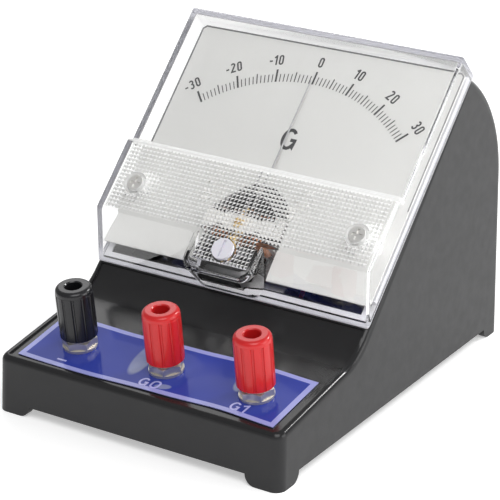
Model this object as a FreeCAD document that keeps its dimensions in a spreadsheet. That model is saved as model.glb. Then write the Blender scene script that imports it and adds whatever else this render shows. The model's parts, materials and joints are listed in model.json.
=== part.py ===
"""Desk galvanometer for school experiments: sloping meter, three binding posts, moving-coil movement.

Millimetres and degrees. +X is the reader's right, +Y the back, +Z up. The origin is the middle of the
footprint, on the table. Three frames are used: upright (the origin), deck (the terminal deck, which
rises gently to the back) and slope (the seat of the meter). In the deck and slope frames X is across,
"along" runs up the surface and "out" is square to it.
"""
import FreeCAD, Part
import math
import os
import re
import sys

import Sketcher

Vector = FreeCAD.Vector

DIMENSIONS = {
    # case
    "case_width": 98.0, "case_depth": 135.3, "case_wall": 2.5, "side_draft": 1.22, "front_draft": 1.71,
    "back_draft": 0.97, "foot_height": 3.4, "foot_across": 8.2, "foot_along": 6.9, "corner_radius": 3.4,
    "edge_radius": 2.0, "deck_front_y": -67.15, "deck_front_z": 16.88, "deck_tilt": 8.77, "rim_height": 0.6,
    "rim_width": 2.3, "rim_front": 2.1, "slope_foot_y": -17.83, "slope_foot_z": 30.71, "slope_angle": 45.2,
    "slope_length": 85.6, "riser_radius": 22.0, "back_radius": 42.0, "back_arc_z": 53.4, "seat_half": 37.0,
    "seat_low": 5.0, "seat_high": 78.0, "boss_radius": 4.0, "boss_x": 42.6, "boss_y": 60.6,
    "front_boss": 11.0, "rear_boss": 22.0, "pilot_radius": 1.1,
    # bottom plate and its screws
    "plate_thick": 2.0, "plate_gap": 0.35, "screw_radius": 1.4, "screw_head": 2.7, "screw_length": 9.0,
    "screw_point": 1.2, "head_sunk": 0.2, "sink_depth": 1.5, "screw_gap": 0.1,
    # terminals
    "post_centre": 0.8, "post_pitch": 30.6, "post_row": 15.6, "post_hole": 3.2, "label_width": 87.8,
    "label_front": 3.8, "label_back": 28.7, "label_thick": 0.3, "label_hole": 3.6, "stud_radius": 3.0,
    "stud_bevel": 0.4, "tail_radius": 2.5, "tail_length": 11.0, "stud_top": 14.6, "socket_radius": 2.0,
    "socket_floor": 6.2, "wire_hole": 0.8, "wire_height": 4.95, "wire_turn": 20.0, "collar_flange": 5.2,
    "collar_step": 1.1, "collar_top": 3.4, "collar_flats": 9.2, "collar_slope": 60.0, "collar_gap": 0.05,
    "cap_bottom": 4.1, "cap_top": 20.6, "cap_radius": 5.6, "cap_bevel": 0.3, "bead_radius": 5.52,
    "bead_height": 1.7, "bead_round": 1.4, "cap_hole": 2.5, "cap_shoulder": 15.4, "insert_radius": 4.1,
    "insert_top": 13.9, "thread_gap": 0.06, "washer_play": 0.02, "flute_radius": 0.46, "flute_depth": 0.42,
    "flute_top": 18.7, "flute_count": 12, "clamp_washer": 4.5, "nut_flats": 8.0, "nut_height": 3.0,
    "common_turn": 28.0, "low_turn": -5.0, "high_turn": 15.0,
    "washer_radius": 5.5, "washer_thick": 0.8, "lug_width": 6.0, "lug_reach": 9.0, "lug_thick": 0.5,
    "wire_eye": 1.6,
    # clear cover and its screws
    "cover_width": 96.0, "cover_wall": 1.6, "cover_low": 0.1, "cover_chin": 12.7, "cover_plateau": 13.25,
    "plateau_end": 37.0, "plateau_ramp": 0.6, "window_height": 10.9, "cover_high": 86.3, "nose_half": 12.5,
    "nose_low": 0.4, "nose_radius": 2.5, "nose_overlap": 3.0, "cover_screw_x": 38.9, "cover_screw_u": 23.3,
    "cover_sink": 2.85, "cover_sink_depth": 1.9, "cover_boss": 3.7, "cover_screw_hole": 1.6,
    "cover_head_gap": 0.35, "cover_head_height": 1.3, "cover_screw_end": 0.5,
    # meter frame and dial
    "frame_half": 46.0, "frame_high": 84.2, "frame_thick": 1.8, "lip_low": 2.8, "lip_thick": 0.4,
    "frame_slot_low": 4.4, "frame_slot_high": 8.4, "frame_slot_half": 44.0, "frame_post": 3.0,
    "movement_hole": 12.8,
    "dial_under": 3.3, "dial_face": 3.9, "dial_low": 6.2, "dial_high": 84.4, "dial_half": 46.0,
    "dial_corner": 1.2, "dial_gap": 0.2, "arch_half": 12.4, "dial_rest_x": 36.0, "dial_rest_u": 76.2,
    "dial_screw_x": 14.7, "dial_screw_u": 27.0, "dial_screw_head": 1.9, "dial_screw_slot": 0.25,
    "meter_screw_x": 42.2, "meter_screw_low": 15.0, "meter_screw_high": 80.5, "meter_screw_depth": 6.0,
    "frame_screw_head": 2.2, "frame_screw_height": 1.2, "slot_depth": 0.7,
    # movement, measured from the pivot axis
    "pivot_u": 18.81, "bore_radius": 9.6, "core_radius": 7.0, "core_bevel": 0.4, "shoe_half": 17.0,
    "shoe_low": 10.0, "shoe_high": 26.0, "shoe_deep": 20.0, "shoe_slit": 3.5, "shoe_screw_x": 15.1,
    "shoe_screw_low": 5.0, "shoe_screw_high": 20.0, "shoe_screw_depth": 8.0, "shoe_screw_radius": 1.2,
    "shoe_screw_hole": 1.25, "magnet_half": 8.0, "magnet_low": 12.0, "magnet_gap": 1.0, "magnet_edge": 0.6,
    "core_front": 2.4, "core_back": 18.4, "coil_half": 7.4, "coil_back": 19.2, "coil_front": 1.6,
    "former_wall": 0.4, "former_lip": 0.3, "winding_wall": 1.0, "coil_width": 5.0, "bracket_out": 12.0,
    "bracket_half": 15.0, "bracket_front": 6.0, "bracket_back": 15.0, "stem_half": 2.4, "leg_inner": 10.2,
    "leg_outer": 11.9, "leg_half": 3.0, "bridge_under": 8.6, "bridge_top": 9.6, "rear_leg_inner": 11.0,
    "rear_leg_outer": 15.0, "rear_bridge_top": 25.0, "rear_bridge_bottom": 26.2, "jewel_radius": 1.5,
    "jewel_thread_gap": 0.03, "jewel_slot": 0.25, "jewel_front": 10.9, "jewel_inner": 7.3,
    "rear_jewel_inner": 24.3, "rear_jewel_outer": 28.0, "staff_radius": 0.4, "staff_front": 7.55,
    "staff_back": 24.6, "staff_flange": 2.0, "staff_flange_thick": 0.4, "pivot_length": 0.9,
    "pivot_tip": 0.08, "pivot_pit": 0.5, "pointer_height": 5.4, "hub_radius": 1.3, "hub_thick": 1.0,
    "hub_gap": 0.02, "hub_bite": 0.2, "pointer_length": 52.5, "pointer_root": 0.42, "pointer_tip": 0.2,
    "tail_arm": 8.6, "side_arm": 6.4, "arm_radius": 0.3, "tail_weight": 1.3, "side_weight": 0.8,
    "weight_length": 2.4, "weight_gap": 0.01, "spring_height": 6.7, "spring_wire": 0.24, "spring_inner": 1.3,
    "spring_pitch": 0.62, "spring_turns": 4.25, "spring_gap": 0.02, "spring_anchor": 0.8, "anchor_half": 0.5,
    "collet_radius": 0.9, "rear_spring_height": 23.0, "stop_reach": 20.0, "stop_angle": 50.2,
    "stop_radius": 0.5, "stop_top": 6.8,
    # zero setting
    "zero_ring": 3.0, "zero_under": 7.5, "zero_top": 8.1, "zero_half": 1.4, "zero_reach": 12.4,
    "zero_slot": 0.62, "zero_slot_start": 9.6, "zero_play": 0.05, "adjuster_u": 8.86, "adjuster_head": 3.4,
    "adjuster_shaft": 2.0, "adjuster_gap": 0.05, "adjuster_rim": 0.2, "adjuster_sink": 0.6,
    "adjuster_proud": 0.7, "adjuster_clip": 2.5, "adjuster_clip_low": 10.7, "adjuster_clip_high": 11.5,
    "eccentric_throw": 1.2, "eccentric_pin": 0.5, "eccentric_low": 7.2, "driver_slot": 0.45,
    "driver_depth": 0.8, "driver_reach": 2.72,
    # wiring
    "lead_radius": 0.7, "lead_gap": 0.1, "lead_run": 20.0, "lead_arrival": 14.0, "resistor_radius": 1.9,
    "resistor_bulge": 0.25, "resistor_length": 9.5, "resistor_wire": 0.35, "tag_out": 12.0,
    "tag_thick": 0.6, "tag_half": 2.5, "tag_length": 11.0,
}

ALIAS = re.compile(r"[a-z]+(?:_[a-z]+)+")
FRAMES = {"upright": ("0", "0", "0"), "deck": ("deck_front_y", "deck_front_z", "deck_tilt"),
          "slope": ("slope_foot_y", "slope_foot_z", "slope_angle")}
MARGIN = 5.0
CROSS_RECESS = (0.62, 0.16)
SOCKETS = {"common": "post_centre - post_pitch", "low": "post_centre", "high": "post_centre + post_pitch"}

doc = FreeCAD.newDocument("Galvanometer")
sheet = doc.addObject("Spreadsheet::Sheet", "Dims")
parts = []


# ---------------------------------------------------------------- sheet, frames and placing

def fill_sheet():
    for row, (alias, number) in enumerate(DIMENSIONS.items(), start=1):
        sheet.set(f"A{row}", alias)
        sheet.set(f"B{row}", str(number))
        sheet.setAlias(f"B{row}", alias)
    doc.recompute()


def formula(text):
    """Turn a formula written with bare dimension names into one that reads the sheet."""
    return ALIAS.sub(lambda name: "Dims." + name.group(0), str(text))


def value(text):
    """The present value of a formula, in millimetres or degrees."""
    result = sheet.evalExpression(formula(text))
    return float(getattr(result, "Value", result))


def bind(item, prop, text):
    item.setExpression(prop, formula(text))


def place(item, frame="upright", x="0", along="0", out="0", prop="Placement"):
    """Bind a placement to a point of one of the frames, turned with that frame."""
    foot_y, foot_z, angle = FRAMES[frame]
    setattr(item, prop, FreeCAD.Placement(Vector(0, 0, 0), FreeCAD.Rotation(Vector(1, 0, 0), value(angle))))
    bind(item, prop + ".Base.x", x)
    bind(item, prop + ".Base.y", f"{foot_y} + ({along}) * cos({angle}) - ({out}) * sin({angle})")
    bind(item, prop + ".Base.z", f"{foot_z} + ({along}) * sin({angle}) + ({out}) * cos({angle})")
    if frame != "upright":
        bind(item, prop + ".Rotation.Angle", angle)


def keep(item, label):
    """Register a finished sub-part under its own label."""
    item.Label = label
    parts.append(item)
    return item


# ---------------------------------------------------------------- sketches and body features

def new_body(label, frame="upright", x="0", along="0", out="0"):
    body = doc.addObject("PartDesign::Body", label)
    place(body, frame, x, along, out)
    return keep(body, label)


def new_sketch(body, role="XY_Plane", level="0", frame=None, turn=None):
    """Sketch on a plane of the body, lifted by level, laid in a frame or turned about the body's Z axis."""
    sketch = body.newObject("Sketcher::SketchObject", body.Name + "Sketch")
    plane = next(feature for feature in body.Origin.OriginFeatures if feature.Role == role)
    sketch.AttachmentSupport = [(plane, "")]
    sketch.MapMode = "FlatFace"
    if frame:
        place(sketch, frame, out=level, prop="AttachmentOffset")
    else:
        bind(sketch, "AttachmentOffset.Base.z", level)
    if turn:
        sketch.AttachmentOffset.Rotation = FreeCAD.Rotation(Vector(0, 1, 0), value(turn))
        bind(sketch, "AttachmentOffset.Rotation.Angle", turn)
    return sketch


def pin(sketch, geometry, point, x, y):
    """Hold a point of the sketch at two formulas, measured from the sketch's origin."""
    for kind, text in (("DistanceX", x), ("DistanceY", y)):
        index = sketch.addConstraint(Sketcher.Constraint(kind, -1, 1, geometry, point, value(text)))
        bind(sketch, f"Constraints[{index}]", text)


def arc_between(start, end, radius, centre_left):
    chord = end - start
    across = Vector(-chord.y, chord.x, 0).normalize() * (1 if centre_left else -1)
    centre = start + chord * 0.5 + across * (radius ** 2 - (chord.Length / 2) ** 2) ** 0.5
    circle = Part.Circle(centre, Vector(0, 0, 1), radius)
    ends = (start, end) if centre_left else (end, start)
    return Part.ArcOfCircle(circle, *(circle.parameter(point) for point in ends))


def outline(sketch, corners, arcs=None):
    """Closed outline through the corners. arcs: {side: (radius, whether its centre is on the left)}."""
    arcs = arcs or {}
    points = [Vector(value(x), value(y), 0) for x, y in corners]
    ends = []
    for side, start in enumerate(points):
        end = points[(side + 1) % len(points)]
        if side in arcs:
            radius, centre_left = arcs[side]
            index = sketch.addGeometry(arc_between(start, end, value(radius), centre_left), False)
            ends.append((index, 1, 2) if centre_left else (index, 2, 1))
            bend = sketch.addConstraint(Sketcher.Constraint("Radius", index, value(radius)))
            bind(sketch, f"Constraints[{bend}]", radius)
        else:
            index = sketch.addGeometry(Part.LineSegment(start, end), False)
            ends.append((index, 1, 2))
    for side, (x, y) in enumerate(corners):
        geometry, first, _ = ends[side]
        before, _, last = ends[side - 1]
        sketch.addConstraint(Sketcher.Constraint("Coincident", before, last, geometry, first))
        pin(sketch, geometry, first, x, y)


def rectangle(sketch, left, right, low, high):
    outline(sketch, [(left, low), (right, low), (right, high), (left, high)])


def ring(sketch, x, y, radius):
    circle = Part.Circle(Vector(value(x), value(y), 0), Vector(0, 0, 1), value(radius))
    index = sketch.addGeometry(circle, False)
    size = sketch.addConstraint(Sketcher.Constraint("Radius", index, value(radius)))
    bind(sketch, f"Constraints[{size}]", radius)
    pin(sketch, index, 3, x, y)


def feature(body, kind, sketch, length=None, both_ways=False, other_way=False):
    item = body.newObject("PartDesign::" + kind, body.Name + kind)
    item.Profile = sketch
    if both_ways:
        item.SideType = "Symmetric"
    item.Reversed = other_way
    if length is None:
        item.Type = "ThroughAll"
    else:
        bind(item, "Length", length)
    return item


def pad(body, sketch, length, **options):
    return feature(body, "Pad", sketch, length, **options)


def pocket(body, sketch, length=None, **options):
    return feature(body, "Pocket", sketch, length, **options)


def turned(body, corners, arcs=None, turn=None):
    """Turn a half section, given as (radius, height) corners, about the body's Z axis."""
    sketch = new_sketch(body, "XZ_Plane", turn=turn)
    outline(sketch, corners, arcs)
    spin = body.newObject("PartDesign::Revolution", body.Name + "Revolution")
    spin.Profile = sketch
    spin.ReferenceAxis = (sketch, ["V_Axis"])
    spin.Angle = 360
    return spin


def edges_where(shape, test):
    """Names of the edges whose middle and direction pass the test."""
    names = []
    for number, edge in enumerate(shape.Edges, start=1):
        middle = edge.valueAt((edge.FirstParameter + edge.LastParameter) / 2)
        ends = [vertex.Point for vertex in edge.Vertexes]
        way = (ends[-1] - ends[0]).normalize() if len(ends) > 1 and ends[0] != ends[-1] else Vector(0, 0, 0)
        if test(middle, way):
            names.append(f"Edge{number}")
    return names


def rounded(body, radius, test):
    """Round those edges of the body's last feature that pass the test."""
    doc.recompute()
    base = body.Tip
    names = edges_where(base.Shape, test)
    fillet = body.newObject("PartDesign::Fillet", body.Name + "Fillet")
    fillet.Base = (base, names)
    bind(fillet, "Radius", radius)
    return fillet


# ---------------------------------------------------------------- primitives and booleans

def cylinder(name, radius, height, x="0", y="0", z="0"):
    item = doc.addObject("Part::Cylinder", name)
    bind(item, "Radius", radius)
    bind(item, "Height", height)
    place_local(item, x, y, z)
    return item


def cone(name, low_radius, high_radius, height, x="0", y="0", z="0"):
    item = doc.addObject("Part::Cone", name)
    bind(item, "Radius1", low_radius)
    bind(item, "Radius2", high_radius)
    bind(item, "Height", height)
    place_local(item, x, y, z)
    return item


def block(name, left, right, front, back, low, high):
    item = doc.addObject("Part::Box", name)
    bind(item, "Length", f"({right}) - ({left})")
    bind(item, "Width", f"({back}) - ({front})")
    bind(item, "Height", f"({high}) - ({low})")
    place_local(item, left, front, low)
    return item


def hexagon(name, flats, height, turn, z="0"):
    item = doc.addObject("Part::Prism", name)
    item.Polygon = 6
    bind(item, "Circumradius", f"({flats}) / (2 * cos(30))")
    bind(item, "Height", height)
    lay(item, Vector(0, 0, 1), value(turn))
    bind(item, "Placement.Rotation.Angle", turn)
    bind(item, "Placement.Base.z", z)
    return item


def place_local(item, x, y, z):
    for axis, text in (("x", x), ("y", y), ("z", z)):
        bind(item, "Placement.Base." + axis, text)


def lay(item, axis, angle=90.0):
    """Turn a primitive about one of its axes, where it stands."""
    item.Placement.Rotation = FreeCAD.Rotation(axis, angle)
    return item


def fused(name, shapes):
    item = doc.addObject("Part::MultiFuse", name)
    item.Shapes = shapes
    return item


def without(name, base, tools):
    item = doc.addObject("Part::Cut", name)
    item.Base = base
    item.Tool = tools[0] if len(tools) == 1 else fused(name + "Tools", tools)
    return item


def group(label, members):
    """Identical pieces that share one sub-part, each a solid of its own."""
    item = doc.addObject("Part::Compound", label)
    item.Links = members
    return keep(item, label)


# ---------------------------------------------------------------- case

def case_shell():
    """Moulded shell: drafted walls, deck, riser and sloping seat, open underneath, on four corner feet."""
    body = new_body("case_shell")
    half = "case_width / 2"
    deep = "case_depth / 2"
    top = "slope_foot_z + slope_length * sin(slope_angle)"
    lean = f"({top}) * tan(side_draft)"
    front = new_sketch(body, "XZ_Plane")
    outline(front, [(f"-{half}", "0"), (half, "0"), (f"{half} - {lean}", top), (f"-{half} + {lean}", top)])
    pad(body, front, "case_depth", both_ways=True)

    rim_z = "(deck_front_z + rim_height)"
    riser_y = (f"(({rim_z} - slope_foot_z + slope_foot_y * tan(slope_angle) - deck_front_y * tan(deck_tilt))"
               " / (tan(slope_angle) - tan(deck_tilt)))")
    riser_z = f"{rim_z} + ({riser_y} - deck_front_y) * tan(deck_tilt)"
    side = new_sketch(body, "YZ_Plane")
    outline(side, [
        (f"-{deep}", "0"), ("deck_front_y", rim_z), (riser_y, riser_z),
        ("slope_foot_y + slope_length * cos(slope_angle)", top),
        (f"{deep} - back_arc_z * tan(back_draft)", "back_arc_z"), (deep, "0"), (f"{deep} + {MARGIN}", "0"),
        (f"{deep} + {MARGIN}", f"{top} + {MARGIN}"), (f"-{deep} - {MARGIN}", f"{top} + {MARGIN}"),
        (f"-{deep} - {MARGIN}", "0")], arcs={3: ("back_radius", False)})
    pocket(body, side, both_ways=True)

    def at_riser(middle, way):
        below_slope = middle.z < value("slope_foot_z")
        return abs(way.x) > 0.999 and abs(middle.y - value(riser_y)) < 0.5 and below_slope

    def at_corner(middle, way):
        near_x = value("case_width") / 2 - abs(middle.x) < 2
        return abs(way.z) > 0.99 and near_x and value(deep) - abs(middle.y) < 3
    rounded(body, "riser_radius", at_riser)
    hollow(body)
    rounded(body, "corner_radius", at_corner)
    round_upper_rim(body)
    recess_deck(body)
    open_seat(body)
    stand_on_feet(body)
    add_plate_bosses(body)
    return body


def hollow(body):
    doc.recompute()
    base = body.Tip
    faces = [f"Face{number}" for number, face in enumerate(base.Shape.Faces, start=1)
             if face.BoundBox.ZMax < 0.01]
    shell = body.newObject("PartDesign::Thickness", body.Name + "Thickness")
    shell.Base = (base, faces)
    shell.Join = "Intersection"
    shell.Reversed = True
    bind(shell, "Value", "case_wall")


def round_upper_rim(body):
    """Round the outer edges where the side walls meet the deck, the seat's cheeks and the back."""
    doc.recompute()
    outer = value("case_width") / 2 - value("case_wall") / 2

    def test(middle, way):
        wall = value("case_width") / 2 - middle.z * value("tan(side_draft)")
        at_side = abs(abs(middle.x) - wall) < 0.2 and abs(way.z) < 0.95 and middle.z > 10
        at_front = abs(way.x) > 0.999 and middle.y < value("deck_front_y") + 0.5 and middle.z > 15
        return (at_side and abs(middle.x) > outer - 3) or at_front
    rounded(body, "edge_radius", test)


def recess_deck(body):
    """Sink the deck and the riser between narrow rims."""
    floor = new_sketch(body, "YZ_Plane")
    low_z = "deck_front_z"
    foot_y = "(slope_foot_y + rim_height * sin(slope_angle))"
    foot_z = "(slope_foot_z - rim_height * cos(slope_angle))"
    meet_y = (f"(({low_z} - {foot_z} + {foot_y} * tan(slope_angle) - deck_front_y * tan(deck_tilt))"
              " / (tan(slope_angle) - tan(deck_tilt)))")
    meet_z = f"{low_z} + ({meet_y} - deck_front_y) * tan(deck_tilt)"
    start_y = "(deck_front_y + rim_front)"
    start_z = f"{low_z} + rim_front * tan(deck_tilt)"
    outline(floor, [
        (start_y, start_z), (meet_y, meet_z), (foot_y, foot_z),
        ("slope_foot_y - 6 * sin(slope_angle)", "slope_foot_z + 6 * cos(slope_angle)"),
        (start_y, "slope_foot_z + 6")])
    pocket(body, floor, "case_width - 2 * rim_width - 2 * deck_front_z * tan(side_draft)", both_ways=True)

    def at_bend(middle, way):
        offset = math.hypot(middle.y - value(meet_y), middle.z - value(meet_z))
        return abs(way.x) > 0.999 and offset < 0.05
    rounded(body, "riser_radius", at_bend)


def open_seat(body):
    """Opening for the movement in the seat, and the holes for the meter's screws and the posts."""
    seat = new_sketch(body, level="1", frame="slope")
    rectangle(seat, "-seat_half", "seat_half", "seat_low", "seat_high")
    for x in ("-meter_screw_x", "meter_screw_x"):
        for along in ("meter_screw_low", "meter_screw_high"):
            ring(seat, x, along, "pilot_radius")
    pocket(body, seat, "case_wall + 4")
    deck = new_sketch(body, level="1", frame="deck")
    for x in SOCKETS.values():
        ring(deck, x, "post_row", "post_hole")
    pocket(body, deck, "case_wall + 4")


def stand_on_feet(body):
    """Cut the lower edge of all four walls back, so that the case stands on its corners."""
    for role, half, foot in (("XZ_Plane", "case_width / 2", "foot_across"),
                             ("YZ_Plane", "case_depth / 2", "foot_along")):
        low = f"({half} - {foot})"
        high = f"({half} - {foot} - foot_height)"
        gap = new_sketch(body, role)
        outline(gap, [(f"-{low}", "-1"), (low, "-1"), (low, "0"), (high, "foot_height"),
                      (f"-{high}", "foot_height"), (f"-{low}", "0")],
                arcs={2: ("foot_height", False), 4: ("foot_height", False)})
        pocket(body, gap, both_ways=True)


def add_plate_bosses(body):
    """Screw bosses in the corners, with pilot holes from below."""
    for side, height in (("-boss_y", "front_boss"), ("boss_y", "rear_boss")):
        bosses = new_sketch(body, level="foot_height + plate_thick")
        for x in ("-boss_x", "boss_x"):
            ring(bosses, x, side, "boss_radius")
        pad(body, bosses, height)
    holes = new_sketch(body)
    for x in ("-boss_x", "boss_x"):
        for y in ("-boss_y", "boss_y"):
            ring(holes, x, y, "screw_radius + screw_gap / 2")
    pocket(body, holes, "foot_height + screw_length + 1", other_way=True)


def base_plate():
    """Flat bottom cover, held up inside the walls by four countersunk screws."""
    half_x = "case_width / 2 - case_wall - foot_height * tan(side_draft) - plate_gap"
    front_y = "case_depth / 2 - case_wall - foot_height * tan(front_draft) - plate_gap"
    body = new_body("base_plate", out="foot_height")
    plate = new_sketch(body)
    rectangle(plate, f"-({half_x})", half_x, f"-({front_y})", front_y)
    pad(body, plate, "plate_thick")
    rounded(body, "plate_thick / 2", lambda middle, way: abs(way.z) > 0.99)
    holes = new_sketch(body)
    sinks = new_sketch(body)
    for x in ("-boss_x", "boss_x"):
        for y in ("-boss_y", "boss_y"):
            ring(holes, x, y, "screw_radius + screw_gap")
            ring(sinks, x, y, "screw_head + screw_gap")
    pocket(body, holes, other_way=True)
    pocket(body, sinks, "sink_depth", other_way=True)


def base_screws():
    members = []
    for number, (x, y) in enumerate(corner_pairs("boss_x", "boss_y"), start=1):
        name = f"BaseScrew{number}"
        face = "foot_height + head_sunk"
        head = cylinder(name + "Head", "screw_head", "sink_depth - head_sunk", x, y, face)
        shank = cylinder(name + "Shank", "screw_radius", "screw_length - screw_point", x, y, face)
        tip = cone(name + "Tip", "screw_radius", "screw_radius / 4", "screw_point", x, y,
                   f"{face} + screw_length - screw_point")
        members.append(crossed(name, fused(name + "Solid", [head, shank, tip]), "screw_head", x, y,
                               "foot_height", "foot_height + 1"))
    group("base_screws", members)


def corner_pairs(x, y):
    return [(f"{side_x}{x}", f"{side_y}{y}") for side_x in ("-", "") for side_y in ("-", "")]


def crossed(name, screw, radius, x, y, low, high):
    """Cut a cross recess into a screw's head between two heights."""
    bars = []
    for bar, (reach_x, reach_y) in enumerate((CROSS_RECESS, CROSS_RECESS[::-1])):
        bars.append(block(f"{name}Bar{bar}", f"{x} - {reach_x} * {radius}", f"{x} + {reach_x} * {radius}",
                          f"{y} - {reach_y} * {radius}", f"{y} + {reach_y} * {radius}", low, high))
    return without(name, screw, bars)


def terminal_label():
    """Printed plastic label on the deck, with a hole round each post."""
    body = new_body("terminal_label", "deck")
    sheet_outline = new_sketch(body)
    rectangle(sheet_outline, "-label_width / 2", "label_width / 2", "label_front", "label_back")
    for x in SOCKETS.values():
        ring(sheet_outline, x, "post_row", "label_hole")
    pad(body, sheet_outline, "label_thick")


# ---------------------------------------------------------------- terminals

WASHER_FACE = "(rim_height * cos(deck_tilt) - case_wall - washer_thick)"
NUT_FACE = f"({WASHER_FACE} - nut_height)"
LUG_FACE = f"({NUT_FACE} - lug_thick)"


def terminal_post(name, x):
    """Everything that belongs to one post and has a sub-part of its own."""
    spot = ("deck", x, "post_row")
    stud(name, spot)
    washer = new_body(f"clamp_washer_{name}", *spot)
    under, over = "collar_top + washer_play", "cap_bottom - washer_play"
    turned(washer, [("stud_radius + thread_gap", under), ("clamp_washer", under), ("clamp_washer", over),
                    ("stud_radius + thread_gap", over)])
    insert = new_body(f"cap_insert_{name}", *spot)
    turned(insert, [("stud_radius + thread_gap", "cap_bottom"), ("insert_radius", "cap_bottom"),
                    ("insert_radius", "insert_top"), ("stud_radius + thread_gap", "insert_top")])
    cap(name, spot)


def stud(name, spot):
    """Stud with a 4 mm socket down its middle and a cross hole for a bare wire above the collar."""
    body = new_body(f"post_stud_{name}", *spot)
    turned(body, [("0", "-tail_length"), ("tail_radius", "-tail_length"), ("tail_radius", "0"),
                  ("stud_radius", "label_thick"), ("stud_radius", "stud_top - stud_bevel"),
                  ("stud_radius - stud_bevel", "stud_top"), ("socket_radius", "stud_top"),
                  ("socket_radius", "socket_floor"), ("0", "socket_floor")], turn="wire_turn")
    cross = new_sketch(body, "XZ_Plane", turn="wire_turn")
    ring(cross, "0", "wire_height", "wire_hole")
    pocket(body, cross, both_ways=True)


def cap(name, spot):
    """Fluted screw cap with a smooth bead at its top and a clear hole for a plug."""
    body = new_body(f"post_cap_{name}", *spot)
    neck = "cap_top - bead_height"
    turned(body, [
        ("insert_radius", "cap_bottom"), ("cap_radius - cap_bevel", "cap_bottom"),
        ("cap_radius", "cap_bottom + cap_bevel"), ("cap_radius", f"{neck} - cap_bevel"),
        ("bead_radius", neck), ("bead_radius", "cap_top - bead_round"),
        ("bead_radius - bead_round", "cap_top"), ("cap_hole + cap_bevel", "cap_top"),
        ("cap_hole", "cap_top - cap_bevel"), ("cap_hole", "cap_shoulder"),
        ("stud_radius + cap_bevel", "cap_shoulder"), ("stud_radius + cap_bevel", "insert_top"),
        ("insert_radius", "insert_top")],
        arcs={5: ("bead_round", True)})
    groove = new_sketch(body, level="cap_bottom - 1")
    ring(groove, "cap_radius + flute_radius - flute_depth", "0", "flute_radius")
    flute = pocket(body, groove, "flute_top - cap_bottom + 1", other_way=True)
    pattern = body.newObject("PartDesign::PolarPattern", body.Name + "Pattern")
    pattern.Originals = [flute]
    pattern.Axis = (next(item for item in body.Origin.OriginFeatures if item.Role == "Z_Axis"), [""])
    pattern.Angle = 360
    bind(pattern, "Occurrences", "flute_count")
    body.Tip = pattern


def on_posts(label, build):
    """One sub-part that holds the same piece on every post, each turned as far as it was tightened."""
    members = []
    for name, x in SOCKETS.items():
        piece = build(label.title().replace("_", "") + name.title(), f"{name}_turn")
        place(piece, "deck", x, "post_row")
        members.append(piece)
    group(label, members)


def post_collar(name, turn):
    """Hexagonal collar with a round flange, pulled down on the label."""
    flange = cylinder(name + "Flange", "collar_flange", "collar_step - label_thick", z="label_thick")
    top = hexagon(name + "Hex", "collar_flats", "collar_top - collar_step", turn, z="collar_step")
    bevel = cone(name + "Bevel", "collar_flats / 2 + collar_top * tan(collar_slope)", "collar_flats / 2",
                 "collar_top")
    trimmed = doc.addObject("Part::Common", name + "Trimmed")
    trimmed.Base = top
    trimmed.Tool = bevel
    hole = cylinder(name + "Hole", "stud_radius + collar_gap", "collar_top + 1", z="0")
    return without(name, fused(name + "Solid", [flange, trimmed]), [hole])


def plain_washer(name, _):
    disc = cylinder(name + "Disc", "washer_radius", "washer_thick", z=WASHER_FACE)
    hole = cylinder(name + "Hole", "tail_radius + collar_gap", "washer_thick + 2", z=f"{WASHER_FACE} - 1")
    return without(name, disc, [hole])


def tail_nut(name, turn, top):
    body = hexagon(name + "Hex", "nut_flats", "nut_height", turn, z=f"{top} - nut_height")
    hole = cylinder(name + "Hole", "tail_radius + collar_gap", "nut_height + 2", z=f"{top} - nut_height - 1")
    return without(name, body, [hole])


def solder_lug(name, _):
    """Flat lug between the two nuts, pointing to the back, with a wire hole at its end."""
    top = NUT_FACE
    eye = cylinder(name + "Eye", "lug_width / 2 + 1", "lug_thick", z=f"{top} - lug_thick")
    tongue = block(name + "Tongue", "-lug_width / 4", "lug_width / 4", "0", "lug_reach",
                   f"{top} - lug_thick", top)
    hole = cylinder(name + "Hole", "tail_radius + collar_gap", "lug_thick + 2", z=f"{top} - lug_thick - 1")
    wire = cylinder(name + "Wire", "lug_width / 8", "lug_thick + 2", y="lug_reach - wire_eye",
                    z=f"{top} - lug_thick - 1")
    return without(name, fused(name + "Solid", [eye, tongue]), [hole, wire])


def terminals():
    for name, x in SOCKETS.items():
        terminal_post(name, x)
    on_posts("post_collars", post_collar)
    on_posts("post_washers", plain_washer)
    on_posts("clamp_nuts", lambda name, turn: tail_nut(name, turn, WASHER_FACE))
    on_posts("solder_lugs", solder_lug)
    on_posts("lock_nuts", lambda name, turn: tail_nut(name, turn, LUG_FACE))


# ---------------------------------------------------------------- meter housing

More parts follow.
